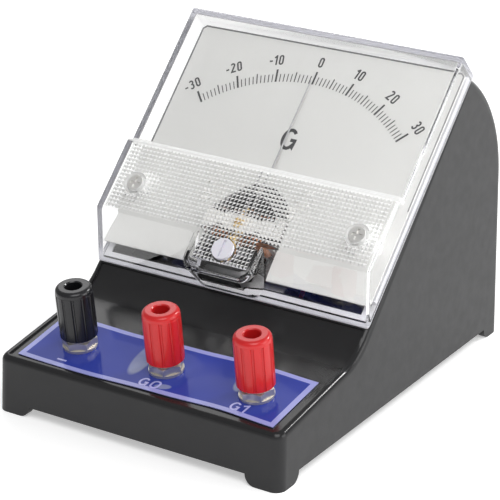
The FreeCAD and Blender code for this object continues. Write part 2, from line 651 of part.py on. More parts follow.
def clear_cover():
    """Clear moulded cover: window, raised band across its lower third, and a nose round the zero screw."""
    body = new_body("clear_cover", "slope")
    side = new_sketch(body, "YZ_Plane")
    outline(side, [("cover_low", "0"), ("cover_chin", "cover_plateau"), ("plateau_end", "cover_plateau"),
                   ("plateau_end + plateau_ramp", "window_height"), ("cover_high", "window_height"),
                   ("cover_high", "0")])
    pad(body, side, "cover_width", both_ways=True)
    nose = new_sketch(body)
    rectangle(nose, "-nose_half", "nose_half", "nose_low", "cover_chin + nose_overlap")
    pad(body, nose, "cover_plateau")

    def at_nose(middle, way):
        return abs(way.z) > 0.99 and middle.y < 2 and abs(middle.x) < value("nose_half") + 1
    rounded(body, "nose_radius", at_nose)
    wall = "cover_wall"
    slant = "((cover_chin - cover_low) / cover_plateau)"
    inset = f"{wall} * sqrt(1 + {slant} ^ 2)"
    inside = new_sketch(body, "YZ_Plane")
    outline(inside, [
        (f"cover_low - {slant} + {inset}", "-1"),
        (f"cover_chin - {slant} * {wall} + {inset}", f"cover_plateau - {wall}"),
        (f"plateau_end - {wall} / 3", f"cover_plateau - {wall}"),
        (f"plateau_end + plateau_ramp - {wall} / 3", f"window_height - {wall}"),
        (f"cover_high - {wall}", f"window_height - {wall}"), (f"cover_high - {wall}", "-1")])
    pocket(body, inside, f"cover_width - 2 * {wall}", both_ways=True)
    nose_inside = new_sketch(body, level=f"cover_plateau - {wall}")
    rectangle(nose_inside, f"{wall} - nose_half", f"nose_half - {wall}", f"nose_low + {wall}",
              "cover_chin + nose_overlap")
    pocket(body, nose_inside)
    bosses = new_sketch(body, level="dial_face")
    sinks = new_sketch(body, level="cover_plateau")
    holes = new_sketch(body, level="cover_plateau")
    for x in ("-cover_screw_x", "cover_screw_x"):
        ring(bosses, x, "cover_screw_u", "cover_boss")
        ring(sinks, x, "cover_screw_u", "cover_sink")
        ring(holes, x, "cover_screw_u", "cover_screw_hole")
    pad(body, bosses, "cover_plateau - cover_wall / 2 - dial_face")
    pocket(body, sinks, "cover_sink_depth")
    ring(holes, "0", "adjuster_u", "adjuster_shaft + adjuster_gap")
    pocket(body, holes, "cover_plateau - dial_face + 1")
    seat = new_sketch(body, level="cover_plateau")
    ring(seat, "0", "adjuster_u", "adjuster_head + adjuster_rim")
    pocket(body, seat, "adjuster_sink")


def cover_screws():
    members = []
    for number, x in enumerate(("-cover_screw_x", "cover_screw_x"), start=1):
        name = f"CoverScrew{number}"
        seat = "cover_plateau - cover_sink_depth"
        head = cylinder(name + "Head", "cover_sink - cover_head_gap", "cover_head_height", x,
                        "cover_screw_u", seat)
        shank = cylinder(name + "Shank", "cover_screw_hole - 0.2", f"{seat} - cover_screw_end", x,
                         "cover_screw_u", "cover_screw_end")
        screw = crossed(name, fused(name + "Solid", [head, shank]), "cover_sink", x, "cover_screw_u",
                        f"{seat} + cover_head_height - slot_depth", f"{seat} + 2 * cover_head_height")
        place(screw, "slope")
        members.append(screw)
    group("cover_screws", members)


def meter_frame():
    """White moulded frame on the seat, with a thin lip under the cover's lower wall and a slot above it."""
    body = new_body("meter_frame", "slope")
    web = new_sketch(body)
    rectangle(web, "-frame_half", "frame_half", "frame_slot_high", "frame_high")
    pad(body, web, "frame_thick")
    lip = new_sketch(body)
    rectangle(lip, "-frame_half", "frame_half", "lip_low", "frame_slot_high + lip_thick")
    rectangle(lip, "-frame_slot_half", "frame_slot_half", "frame_slot_low", "frame_slot_high")
    pad(body, lip, "lip_thick")
    movement = new_sketch(body, level="frame_thick")
    outline(movement, [("-movement_hole", "frame_slot_high - 1"), ("movement_hole", "frame_slot_high - 1"),
                       ("movement_hole", "pivot_u"), ("-movement_hole", "pivot_u")],
            arcs={2: ("movement_hole + 0.001", True)})
    pocket(body, movement)
    posts = new_sketch(body, level="frame_thick")
    for x, along in FRAME_POSTS:
        ring(posts, x, along, "frame_post")
    pad(body, posts, "dial_under - frame_thick")
    holes = new_sketch(body, level="dial_under")
    for x in ("-cover_screw_x", "cover_screw_x"):
        ring(holes, x, "cover_screw_u", "cover_screw_hole - 0.15")
    for x in ("-dial_screw_x", "dial_screw_x"):
        ring(holes, x, "dial_screw_u", "pilot_radius")
    pocket(body, holes)
    screws = new_sketch(body, level="frame_thick")
    for x, along in meter_screw_spots() + shoe_screw_spots():
        ring(screws, x, along, "screw_radius + screw_gap")
    pocket(body, screws)


FRAME_POSTS = [("-cover_screw_x", "cover_screw_u"), ("cover_screw_x", "cover_screw_u"),
               ("-dial_screw_x", "dial_screw_u"), ("dial_screw_x", "dial_screw_u"),
               ("-dial_rest_x", "dial_rest_u"), ("dial_rest_x", "dial_rest_u")]


def meter_screw_spots():
    return [(x, along) for x in ("-meter_screw_x", "meter_screw_x")
            for along in ("meter_screw_low", "meter_screw_high")]


def shoe_screw_spots():
    return [(f"{side}shoe_screw_x", f"pivot_u + ({along})") for side in ("-", "")
            for along in ("-shoe_screw_low", "shoe_screw_high")]


def frame_screws(label, spots, depth, shank):
    """Pan-head screws through the frame, hidden under the dial."""
    members = []
    for number, (x, along) in enumerate(spots, start=1):
        name = label.title().replace("_", "") + str(number)
        head = cylinder(name + "Head", "frame_screw_head", "frame_screw_height", x, along, "frame_thick")
        stem = cylinder(name + "Shank", shank, f"frame_thick + {depth}", x, along, f"-{depth}")
        top = "frame_thick + frame_screw_height"
        screw = crossed(name, fused(name + "Solid", [head, stem]), "frame_screw_head", x, along,
                        f"{top} - slot_depth", f"{top} + slot_depth")
        place(screw, "slope")
        members.append(screw)
    group(label, members)


def dial_plate():
    """Printed metal dial with an arch cut out of its lower edge for the movement."""
    body = new_body("dial_plate", "slope")
    face = new_sketch(body, level="dial_under")
    cut = "dial_corner"
    outline(face, [
        ("-dial_half", "dial_low"), ("-arch_half", "dial_low"), ("-arch_half", "pivot_u"),
        ("arch_half", "pivot_u"), ("arch_half", "dial_low"), ("dial_half", "dial_low"),
        ("dial_half", f"dial_high - {cut}"), (f"dial_half - {cut}", "dial_high"),
        (f"{cut} - dial_half", "dial_high"), ("-dial_half", f"dial_high - {cut}")],
        arcs={2: ("arch_half + 0.001", False)})
    for x in ("-cover_screw_x", "cover_screw_x"):
        ring(face, x, "cover_screw_u", "cover_screw_hole + dial_gap")
    for x in ("-dial_screw_x", "dial_screw_x"):
        ring(face, x, "dial_screw_u", "pilot_radius + dial_gap")
    pad(body, face, "dial_face - dial_under")


def dial_screws():
    members = []
    for number, x in enumerate(("-dial_screw_x", "dial_screw_x"), start=1):
        name = f"DialScrew{number}"
        head = cylinder(name + "Head", "dial_screw_head", "2 * slot_depth", x, "dial_screw_u", "dial_face")
        stem = cylinder(name + "Shank", "pilot_radius - screw_gap", "dial_face - dial_gap", x, "dial_screw_u",
                        "dial_gap")
        slot = block(name + "Slot", f"{x} - 2 * dial_screw_head", f"{x} + 2 * dial_screw_head",
                     "dial_screw_u - dial_screw_slot", "dial_screw_u + dial_screw_slot",
                     "dial_face + slot_depth", "dial_face + 3 * slot_depth")
        screw = without(name, fused(name + "Solid", [head, stem]), [slot])
        place(screw, "slope")
        members.append(screw)
    group("dial_screws", members)


def pointer_stops():
    """Two pegs on the dial that catch the pointer just past the ends of the scale."""
    pegs = []
    for number, side in enumerate(("-", ""), start=1):
        peg = doc.addObject("Part::Cylinder", f"StopPeg{number}")
        bind(peg, "Radius", "stop_radius")
        bind(peg, "Height", "stop_top - dial_face")
        place(peg, "slope", f"{side}stop_reach * sin(stop_angle)", "pivot_u + stop_reach * cos(stop_angle)",
              "dial_face")
        pegs.append(peg)
    group("pointer_stops", pegs)


# ---------------------------------------------------------------- movement: fixed pieces

def on_axis(item):
    """Stand a piece of the movement on the pivot axis."""
    place(item, "slope", along="pivot_u")
    return item


SPRING_EDGE = "(spring_inner + spring_pitch * spring_turns + spring_wire / 2 + spring_gap)"


def movement_body(label):
    return new_body(label, "slope", along="pivot_u")


def pole_shoe(label, side):
    """Soft iron shoe on one side of the coil, hollowed to the bore and notched for the magnet."""
    near, far = ("-shoe_half", "-shoe_slit") if side < 0 else ("shoe_slit", "shoe_half")
    slab = block(label + "Slab", near, far, "-shoe_low", "shoe_high", "-shoe_deep", "0")
    bore = cylinder(label + "Bore", "bore_radius", "shoe_deep + 2", z="-shoe_deep - 1")
    notch = block(label + "Notch", "-magnet_half", "magnet_half", "magnet_low", "shoe_high + 1",
                  "-shoe_deep - 1", "1")
    screw_x = "-shoe_screw_x" if side < 0 else "shoe_screw_x"
    holes = [cylinder(f"{label}Screw{number}", "shoe_screw_hole", "shoe_screw_depth + 2", screw_x, along,
                      "-shoe_screw_depth - 1")
             for number, along in enumerate(("-shoe_screw_low", "shoe_screw_high"))]
    keep(on_axis(without(label, slab, [bore, notch] + holes)), label)


def magnet():
    """Bar magnet between the shoes, above the coil."""
    body = movement_body("magnet")
    bar = new_sketch(body, level="magnet_gap - shoe_deep")
    rectangle(bar, "-magnet_half", "magnet_half", "magnet_low + magnet_gap", "shoe_high - magnet_gap")
    pad(body, bar, "shoe_deep - 2 * magnet_gap")
    rounded(body, "magnet_edge", lambda middle, way: abs(way.x) > 0.99)


def core():
    body = movement_body("core")
    turned(body, [("0", "-core_back"), ("core_radius - core_bevel", "-core_back"),
                  ("core_radius", "core_bevel - core_back"), ("core_radius", "-core_front - core_bevel"),
                  ("core_radius - core_bevel", "-core_front"), ("0", "-core_front")])


def core_bracket():
    """Brass strap across the lower ends of the shoes, with a stem that holds the core in mid-air."""
    strap = block("BracketStrap", "-bracket_half", "bracket_half", "-bracket_out", "-shoe_low",
                  "-bracket_back", "-bracket_front")
    stem = block("BracketStem", "-stem_half", "stem_half", "-shoe_low - 0.5", "-core_radius / 2",
                 "-bracket_back + 2", "-bracket_front - 2")
    core_room = cylinder("BracketCoreRoom", "core_radius", "shoe_deep", z="-shoe_deep")
    keep(on_axis(without("core_bracket", fused("BracketSolid", [strap, stem]), [core_room])), "core_bracket")


def front_bridge():
    """Brass bridge over the coil, which carries the front jewel screw."""
    legs = [block(f"FrontLeg{side}", near, far, "-leg_half", "leg_half", "0", "bridge_top")
            for side, near, far in (("Left", "-leg_outer", "-leg_inner"),
                                    ("Right", "leg_inner", "leg_outer"))]
    bar = block("FrontBar", "-leg_outer", "leg_outer", "-leg_half", "leg_half", "bridge_under", "bridge_top")
    waist = [cylinder(f"FrontWaist{side}", "leg_half", "3", x=f"{side}leg_outer * 0.55",
                      y=f"{other}leg_half * 1.7", z="bridge_under - 1")
             for side in ("-", "") for other in ("-", "")]
    hole = cylinder("FrontBridgeHole", "jewel_radius + jewel_thread_gap", "4", z="bridge_under - 2")
    solid = fused("FrontBridgeSolid", legs + [bar])
    keep(on_axis(without("front_bridge", solid, waist + [hole])), "front_bridge")


def rear_bridge():
    legs = [block(f"RearLeg{side}", near, far, "-leg_half", "leg_half", "-rear_bridge_bottom", "-shoe_deep")
            for side, near, far in (("Left", "-rear_leg_outer", "-rear_leg_inner"),
                                    ("Right", "rear_leg_inner", "rear_leg_outer"))]
    bar = block("RearBar", "-rear_leg_outer", "rear_leg_outer", "-leg_half", "leg_half",
                "-rear_bridge_bottom", "-rear_bridge_top")
    lug = block("RearLug", "-anchor_half", "anchor_half", "0", f"{SPRING_EDGE} + spring_anchor",
                "-rear_bridge_bottom", "-rear_bridge_top")
    anchor = block("RearAnchor", "-anchor_half", "anchor_half", SPRING_EDGE, f"{SPRING_EDGE} + spring_anchor",
                   "-rear_bridge_bottom", "spring_wire - rear_spring_height")
    hole = cylinder("RearBridgeHole", "jewel_radius + jewel_thread_gap", "4", z="-rear_bridge_bottom - 1")
    solid = fused("RearBridgeSolid", legs + [bar, lug, anchor])
    keep(on_axis(without("rear_bridge", solid, [hole])), "rear_bridge")


def jewel_screw(label, inner, outer):
    """Slotted screw with a conical cup in its inner end, in which a pivot runs."""
    outward = 1 if value(outer) > value(inner) else -1
    body = movement_body(label)
    turned(body, [("0", f"{inner} + ({outward}) * 1.3 * pivot_pit"), ("pivot_pit", inner),
                  ("jewel_radius", inner), ("jewel_radius", outer), ("0", outer)])
    slot = new_sketch(body, level=outer)
    rectangle(slot, "-jewel_radius - 1", "jewel_radius + 1", "-jewel_slot", "jewel_slot")
    pocket(body, slot, "slot_depth", other_way=outward < 0)


# ---------------------------------------------------------------- movement: moving coil

def coil_former():
    """Thin aluminium frame that encloses the core."""
    framed_loop("coil_former", "coil_half", "coil_front", "coil_back", "former_wall",
                "coil_width + 2 * former_lip")


def coil_winding():
    framed_loop("coil_winding", "coil_half + former_wall", "coil_front - former_wall",
                "coil_back + former_wall", "winding_wall", "coil_width")


def framed_loop(label, half, front, back, wall, width):
    """Rectangular loop round the core: its inside is half wide each way and runs from front to back."""
    outer = block(label + "Outer", f"-({half}) - {wall}", f"{half} + {wall}", f"-({width}) / 2",
                  f"({width}) / 2", f"-({back}) - {wall}", f"{wall} - ({front})")
    inner = block(label + "Inner", f"-({half})", half, f"-({width})", width, f"-({back})", f"-({front})")
    keep(on_axis(without(label, outer, [inner])), label)


def staff(label, seat, tip):
    """Short staff cemented to one end of the coil, turned down to a pivot."""
    outward = 1 if value(tip) > value(seat) else -1
    flange = f"{seat} + ({outward}) * staff_flange_thick"
    body = movement_body(label)
    turned(body, [("0", seat), ("staff_flange", seat), ("staff_flange", flange), ("staff_radius", flange),
                  ("staff_radius", f"{tip} - ({outward}) * pivot_length"), ("pivot_tip", tip), ("0", tip)])


COIL_FRONT = "(winding_wall + former_wall - coil_front)"
COIL_BACK = "(-coil_back - former_wall - winding_wall)"


def pointer():
    """Tapered pointer on a split hub, with a tail and two side arms for the balance weights."""
    disc = cylinder("PointerHub", "hub_radius", "hub_thick", z="pointer_height - hub_thick / 2")
    hole = cylinder("PointerHubHole", "staff_radius + hub_gap", "hub_thick + 2", z="pointer_height - 2")
    hub = without("PointerHubRing", disc, [hole])
    root = "hub_radius - hub_bite"
    needle = lay(cone("PointerNeedle", "pointer_root", "pointer_tip", f"pointer_length - ({root})", y=root,
                      z="pointer_height"), Vector(1, 0, 0), -90)
    tail = lay(cylinder("PointerTail", "arm_radius", f"tail_arm - ({root})", y=f"-({root})",
                        z="pointer_height"), Vector(1, 0, 0), 90)
    left = lay(cylinder("PointerLeftArm", "arm_radius", f"side_arm - ({root})", x=f"-({root})",
                        z="pointer_height"), Vector(0, 1, 0), -90)
    right = lay(cylinder("PointerRightArm", "arm_radius", f"side_arm - ({root})", x=root, z="pointer_height"),
                Vector(0, 1, 0), 90)
    keep(on_axis(fused("pointer", [hub, needle, tail, left, right])), "pointer")


def balance_weights():
    """Small coiled weights on the tail and the side arms, one solid each."""
    members = []
    places = (("Tail", "tail_weight", "0", "arm_radius - tail_arm", Vector(1, 0, 0), -90),
              ("Left", "side_weight", "arm_radius - side_arm", "0", Vector(0, 1, 0), 90),
              ("Right", "side_weight", "side_arm - arm_radius", "0", Vector(0, 1, 0), -90))
    for name, radius, x, y, axis, angle in places:
        outer = cylinder(f"Weight{name}Outer", radius, "weight_length", x, y, "pointer_height")
        inner = cylinder(f"Weight{name}Inner", "arm_radius + weight_gap", "weight_length", x, y,
                         "pointer_height")
        weight = without(f"Weight{name}", lay(outer, axis, angle), [lay(inner, axis, angle)])
        members.append(on_axis(weight))
    group("balance_weights", members)


def hairspring(label, height):
    """Flat spiral of square wire, with a collet round the staff at its inner end."""
    wire, start, pitch, turns = (value(name) for name in ("spring_wire", "spring_inner", "spring_pitch",
                                                          "spring_turns"))
    level = value(height)
    steps_per_turn = 12
    points = []
    for step in range(int(turns * steps_per_turn) + 1):
        angle = math.tau * step / steps_per_turn
        radius = start + pitch * step / steps_per_turn
        points.append(Vector(radius * math.cos(angle), radius * math.sin(angle), level))
    curve = Part.BSplineCurve()
    curve.interpolate(points)
    along = curve.tangent(curve.FirstParameter)[0]
    across = along.cross(Vector(0, 0, 1)).normalize() * (wire / 2)
    rise = Vector(0, 0, wire)
    section = Part.makePolygon([points[0] + side * across + lift * rise for side, lift in
                                ((-1, -1), (1, -1), (1, 1), (-1, 1), (-1, -1))])
    strip = Part.Wire([curve.toShape()]).makePipeShell([section], True, False)
    collet_height = 3.5 * wire
    base = Vector(0, 0, level - collet_height / 2)
    collet = Part.makeCylinder(value("collet_radius"), collet_height, base)
    collet = collet.cut(Part.makeCylinder(value("staff_radius + hub_gap"), collet_height, base))
    arm = Part.makeBox(start - value("collet_radius") + wire, wire, 2 * wire,
                       Vector(value("collet_radius") - wire / 2, -wire / 2, level - wire))
    item = doc.addObject("Part::Feature", label)
    item.Shape = strip.fuse([collet, arm])
    keep(on_axis(item), label)


# ---------------------------------------------------------------- zero setting

def zero_arm():
    """Brass lever on the front jewel screw; its fork straddles the eccentric pin of the zero screw."""
    height = "zero_top - zero_under"
    disc = cylinder("ArmDisc", "zero_ring", height, z="zero_under")
    lever = block("ArmLever", "-zero_half", "zero_half", "-zero_reach", "0", "zero_under", "zero_top")
    lug = block("ArmLug", "-anchor_half", "anchor_half", "0", f"{SPRING_EDGE} + spring_anchor",
                "zero_under", "zero_top")
    anchor = block("ArmAnchor", "-anchor_half", "anchor_half", SPRING_EDGE, f"{SPRING_EDGE} + spring_anchor",
                   "spring_height - spring_wire", "zero_top")
    hole = cylinder("ArmHole", "jewel_radius + zero_play", "3", z="zero_under - 1")
    slot = block("ArmSlot", "-zero_slot", "zero_slot", "-zero_reach - 1", "-zero_slot_start",
                 "zero_under - 1", "zero_top + 1")
    solid = fused("ArmSolid", [disc, lever, lug, anchor])
    keep(on_axis(without("zero_arm", solid, [hole, slot])), "zero_arm")


def zero_screw():
    """White slotted screw snapped into the cover's nose, with an eccentric pin on its inner end."""
    face = "cover_plateau - adjuster_sink"
    head = cylinder("ZeroHead", "adjuster_head", "adjuster_proud + adjuster_sink", z=face)
    shaft = cylinder("ZeroShaft", "adjuster_shaft", f"{face} - adjuster_clip_low + 0.1",
                     z="adjuster_clip_low")
    clip = cone("ZeroClip", "adjuster_shaft", "adjuster_clip", "adjuster_clip_high - adjuster_clip_low",
                z="adjuster_clip_low")
    pin_item = cylinder("ZeroPin", "eccentric_pin", "adjuster_clip_low - eccentric_low + 0.1",
                        y="-eccentric_throw", z="eccentric_low")
    slot = block("ZeroSlot", "-driver_slot", "driver_slot", "-driver_reach", "driver_reach",
                 "cover_plateau + adjuster_proud - driver_depth", "cover_plateau + adjuster_proud + 1")
    screw = without("zero_screw", fused("ZeroSolid", [head, shaft, clip, pin_item]), [slot])
    place(screw, "slope", along="adjuster_u")
    keep(screw, "zero_screw")


# ---------------------------------------------------------------- wiring

def series_resistor():
    """Resistor between the low and high range posts, soldered to their lugs by its own wires."""
    end_length = "resistor_length / 5"
    body = cylinder("ResistorBody", "resistor_radius", "resistor_length", x="-resistor_length / 2")
    ends = [cylinder(f"ResistorEnd{number}", "resistor_radius + resistor_bulge", end_length, x=x)
            for number, x in enumerate(("-resistor_length / 2", f"resistor_length / 2 - {end_length}"))]
    wire = cylinder("ResistorWire", "resistor_wire", "post_pitch", x="-post_pitch / 2")
    item = fused("series_resistor", [lay(piece, Vector(0, 1, 0)) for piece in [body, wire] + ends])
    place(item, "deck", "post_centre + post_pitch / 2", "post_row + lug_reach - wire_eye",
          f"{LUG_FACE} - resistor_wire")
    keep(item, "series_resistor")


def connection_tags():
    """Two brass tags on the outer faces of the shoes, where the leads end."""
    tags = []
    for name, near in (("Left", "-shoe_half - tag_thick"), ("Right", "shoe_half")):
        tag = block("Tag" + name, "0", "tag_thick", "0", "2 * tag_half", "0", "tag_length")
        place(tag, "slope", near, "pivot_u - tag_half", "-tag_out - tag_length / 2")
        tags.append(tag)
    group("connection_tags", tags)


def frame_point(frame, x, along, out):
    """A point of a frame, in the upright frame."""
    foot_y, foot_z, angle = (value(name) for name in FRAMES[frame])
    turn = FreeCAD.Rotation(Vector(1, 0, 0), angle)
    return turn.multVec(Vector(value(x), value(along), value(out))) + Vector(0, foot_y, foot_z)


def lead(label, post, side):
    """Insulated wire from a post's lug to a tag on the movement: straight runs joined by tangent arcs."""
    lug = (SOCKETS[post], "post_row + lug_reach", f"{LUG_FACE} + lug_thick / 2")
    tag_x = f"{side}(shoe_half + lead_radius + lead_gap)"
    points = [frame_point("deck", *lug), frame_point("deck", lug[0], f"{lug[1]} + lead_run", lug[2]),
              frame_point("slope", tag_x, "pivot_u - tag_half - lead_arrival", "-tag_out"),
              frame_point("slope", tag_x, "pivot_u - tag_half", "-tag_out")]
    edges = []
    cursor = points[0]
    for before, corner, after in zip(points, points[1:], points[2:]):
        back, ahead = before - corner, after - corner
        half_turn = (math.pi - back.getAngle(ahead)) / 2
        reach = 0.45 * min(back.Length, ahead.Length)
        back.normalize()
        ahead.normalize()
        bisector = (back + ahead).normalize()
        radius = reach / math.tan(half_turn)
        middle = corner + bisector * (math.hypot(radius, reach) - radius)
        start, end = corner + back * reach, corner + ahead * reach
        edges.append(Part.LineSegment(cursor, start).toShape())
        edges.append(Part.Arc(start, middle, end).toShape())
        cursor = end
        print(f"{label}: bend radius {radius:.1f}")
    edges.append(Part.LineSegment(cursor, points[-1]).toShape())
    path = Part.Wire(edges)
    radius = value("lead_radius")
    section = Part.Wire([Part.Circle(points[0], points[1] - points[0], radius).toShape()])
    item = doc.addObject("Part::Feature", label)
    item.Shape = path.makePipeShell([section], True, False)
    expected = math.pi * radius ** 2 * path.Length
    if abs(item.Shape.Volume / expected - 1) > 0.01:
        sys.exit(f"{label}: tube volume {item.Shape.Volume:.2f}, expected {expected:.2f}")
    keep(item, label)


# ---------------------------------------------------------------- build, check and write

def movement():
    pole_shoe("pole_shoe_left", -1)
    pole_shoe("pole_shoe_right", 1)
    magnet()
    core()
    core_bracket()
    front_bridge()
    rear_bridge()
    jewel_screw("front_jewel_screw", "jewel_inner", "jewel_front")
    jewel_screw("rear_jewel_screw", "(-rear_jewel_inner)", "(-rear_jewel_outer)")
    coil_former()
    coil_winding()
    staff("front_staff", COIL_FRONT, "staff_front")
    staff("rear_staff", COIL_BACK, "(-staff_back)")
    pointer()
    balance_weights()
    hairspring("front_hairspring", "spring_height")
    hairspring("rear_hairspring", "-rear_spring_height")


def check():
    """Stop on a failed object, a cut that cuts nothing, or a sub-part that is null or not valid."""
    faults = [f"{item.Name}: {item.State}" for item in doc.Objects if {"Invalid", "Error"} & set(item.State)]
    for item in doc.Objects:
        if item.TypeId == "PartDesign::Pocket" and item.BaseFeature:
            if item.BaseFeature.Shape.Volume - item.Shape.Volume < 0.01:
                faults.append(f"{item.Name}: cuts nothing")
    faults += [f"{item.Label}: bad shape" for item in parts
               if item.Shape.isNull() or not item.Shape.isValid()]
    labels = [item.Label for item in parts]
    faults += [f"{label}: used twice" for label in set(labels) if labels.count(label) > 1]
    if faults:
        sys.exit("\n".join(faults))


def main():
    fill_sheet()
    case_shell()
    base_plate()
    base_screws()
    terminal_label()
    terminals()
    clear_cover()
    cover_screws()
    meter_frame()
    frame_screws("meter_screws", meter_screw_spots(), "meter_screw_depth", "pilot_radius - screw_gap / 2")
    frame_screws("shoe_screws", shoe_screw_spots(), "shoe_screw_depth", "shoe_screw_radius")
    dial_plate()
    dial_screws()
    pointer_stops()
    movement()
    zero_arm()
    zero_screw()
    series_resistor()
    connection_tags()
    lead("lead_common", "common", "-")
    lead("lead_low", "low", "")
    doc.recompute()
    check()
    os.makedirs("parts", exist_ok=True)
    for item in parts:
        item.Shape.exportStep(f"parts/{item.Label}.step")
    print(f"{len(parts)} sub-parts written")


main()
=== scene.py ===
"""Looks of the galvanometer: materials, clear cover, dial print, label film, lights and camera.

Blender works in metres in the part's own frame. Shapes below are written in millimetres, in the
frame of the terminal deck or of the meter's sloping seat: x across, along up the surface, out
square to it.
"""
import json
import math

import bmesh
import bpy
from mathutils import Matrix, Vector, noise


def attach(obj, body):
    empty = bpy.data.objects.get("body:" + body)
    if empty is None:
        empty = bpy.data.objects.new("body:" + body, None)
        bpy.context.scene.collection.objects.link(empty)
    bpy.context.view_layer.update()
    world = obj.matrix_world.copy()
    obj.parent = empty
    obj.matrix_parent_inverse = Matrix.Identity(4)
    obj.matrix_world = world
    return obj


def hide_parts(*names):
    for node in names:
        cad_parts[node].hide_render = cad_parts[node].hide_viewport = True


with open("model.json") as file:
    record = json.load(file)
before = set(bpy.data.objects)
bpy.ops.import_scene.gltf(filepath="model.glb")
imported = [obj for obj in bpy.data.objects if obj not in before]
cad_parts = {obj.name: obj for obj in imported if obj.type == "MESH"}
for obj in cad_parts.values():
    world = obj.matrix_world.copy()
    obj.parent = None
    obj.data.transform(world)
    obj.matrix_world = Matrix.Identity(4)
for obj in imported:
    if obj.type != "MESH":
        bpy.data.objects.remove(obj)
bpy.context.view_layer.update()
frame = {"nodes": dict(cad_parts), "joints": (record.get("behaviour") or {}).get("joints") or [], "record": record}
record = frame["record"]

MM = 0.001


# ---------------------------------------------------------------- frames of the deck and the slope

# Places of the record's joints and sockets in the two surface frames.
PIVOT_ALONG = 18.81
POINTER_OUT = 5.4
POST_ALONG = 15.6
SOCKET_OUT = 10.4


def surface_frame(out, point, x, along, height):
    """Matrix from millimetres in a surface's frame to metres, from a point known in both."""
    out = Vector(out).normalized()
    across = Vector((1, 0, 0))
    up = out.cross(across)
    turn = Matrix((across, up, out)).transposed().to_4x4()
    origin = Vector(point) - turn @ (Vector((x, along, height)) * MM)
    return Matrix.Translation(origin) @ turn @ Matrix.Scale(MM, 4)


joints = {joint["name"]: joint for joint in frame["joints"]}
mounts = {mount["name"]: mount for mount in record["mounts"]}
POST_X = {name: mounts["socket_" + name]["pos_m"][0] / MM for name in ("common", "low", "high")}
swing = joints["pointer_swing"]
SLOPE = surface_frame([-part for part in swing["axis"]], swing["pos_m"],
                      0, PIVOT_ALONG, POINTER_OUT)
DECK = surface_frame(mounts["socket_low"]["axis"], mounts["socket_low"]["pos_m"],
                     POST_X["low"], POST_ALONG, SOCKET_OUT)


# ---------------------------------------------------------------- camera, floor and light

# The camera was solved from marked points of the photo.
CAMERA_PLACE = (0.321572, -0.524427, 0.285741)
CAMERA_RIGHT = (0.84716, 0.53119, 0.01236)
CAMERA_UP = (-0.20743, 0.30922, 0.92809)
CAMERA_BACK = (0.48917, -0.78881, 0.37215)
CAMERA_LENS = 157.4
SENSOR_WIDTH = 36
VIEW_END = 50

FLOOR_HALF = 6.0
FLOOR_GLOW = 0.42
WORLD_STRENGTH = 0.36
# name, place, target, size, power
LAMPS = (
    ("key", (0.5, -0.7, 1.2), (0, 0, 0.04), (0.9, 0.9), 8.5),
    ("side", (1.3, 0.25, 0.5), (0, 0, 0.04), (0.8, 0.8), 6.5),
    ("back", (-0.7, 0.9, 0.9), (0, 0, 0.05), (0.9, 0.6), 3),
    ("rim", (0.66, 0.97, 0.96), (0, 0, 0.03), (0.24, 0.16), 7),
)


def camera():
    data = bpy.data.cameras.new("Camera")
    data.sensor_width = SENSOR_WIDTH
    data.lens = CAMERA_LENS
    data.clip_end = VIEW_END
    item = bpy.data.objects.new("Camera", data)
    axes = (Vector(CAMERA_RIGHT), Vector(CAMERA_UP), Vector(CAMERA_BACK))
    item.matrix_world = Matrix(axes).transposed().to_4x4()
    item.location = CAMERA_PLACE
    bpy.context.scene.collection.objects.link(item)
    bpy.context.scene.camera = item


def floor():
    mesh = bpy.data.meshes.new("floor")
    corners = [(x * FLOOR_HALF, y * FLOOR_HALF, 0) for x, y in ((-1, -1), (1, -1), (1, 1), (-1, 1))]
    mesh.from_pydata(corners, [], [(0, 1, 2, 3)])
    item = bpy.data.objects.new("floor", mesh)
    bpy.context.scene.collection.objects.link(item)
    paper = material("floor_paper", (0.93, 0.93, 0.93), roughness=0.7, mottle=0.01,
                     mottle_scale=4, glow=FLOOR_GLOW)
    mesh.materials.append(paper)


def softbox(name, place, target, size, power):
    data = bpy.data.lights.new(name, "AREA")
    data.shape = "RECTANGLE"
    data.size, data.size_y = size
    data.energy = power
    item = bpy.data.objects.new(name, data)
    item.location = place
    item.rotation_euler = (Vector(target) - Vector(place)).to_track_quat("-Z", "Y").to_euler()
    bpy.context.scene.collection.objects.link(item)


def studio():
    scene = bpy.context.scene
    scene.view_settings.view_transform = "Standard"
    world = bpy.data.worlds.new("Studio")
    scene.world = world
    world.use_nodes = True
    background = world.node_tree.nodes["Background"]
    background.inputs["Color"].default_value = (1, 1, 1, 1)
    background.inputs["Strength"].default_value = WORLD_STRENGTH
    for lamp in LAMPS:
        softbox(*lamp)


# ---------------------------------------------------------------- materials

# A pattern's or a normal's values between these two are spread over the whole of a ramp.
SPREAD_FROM = 0.3
SPREAD_TO = 0.7

COAT_ROUGHNESS = 0.12
SUBSURFACE_SCALE = 0.002
GRAIN_DEPTH = 0.0001
GLOSS_PATTERN = 2.5  # the gloss varies on a finer scale than the colour, by this factor

CLEAR_INDEX = 1.49
CLEAR_SHADOW = (0.97, 0.97, 0.97, 1)
CLEAR_PATTERN = 90
CLEAR_GLOSS = (0.5, 1.5)  # least and most roughness, as parts of the finish's own
CLEAR_RIPPLE = 0.04
CLEAR_RIPPLE_DEPTH = 0.0003
CLEAR_RIPPLE_PATTERN = 60

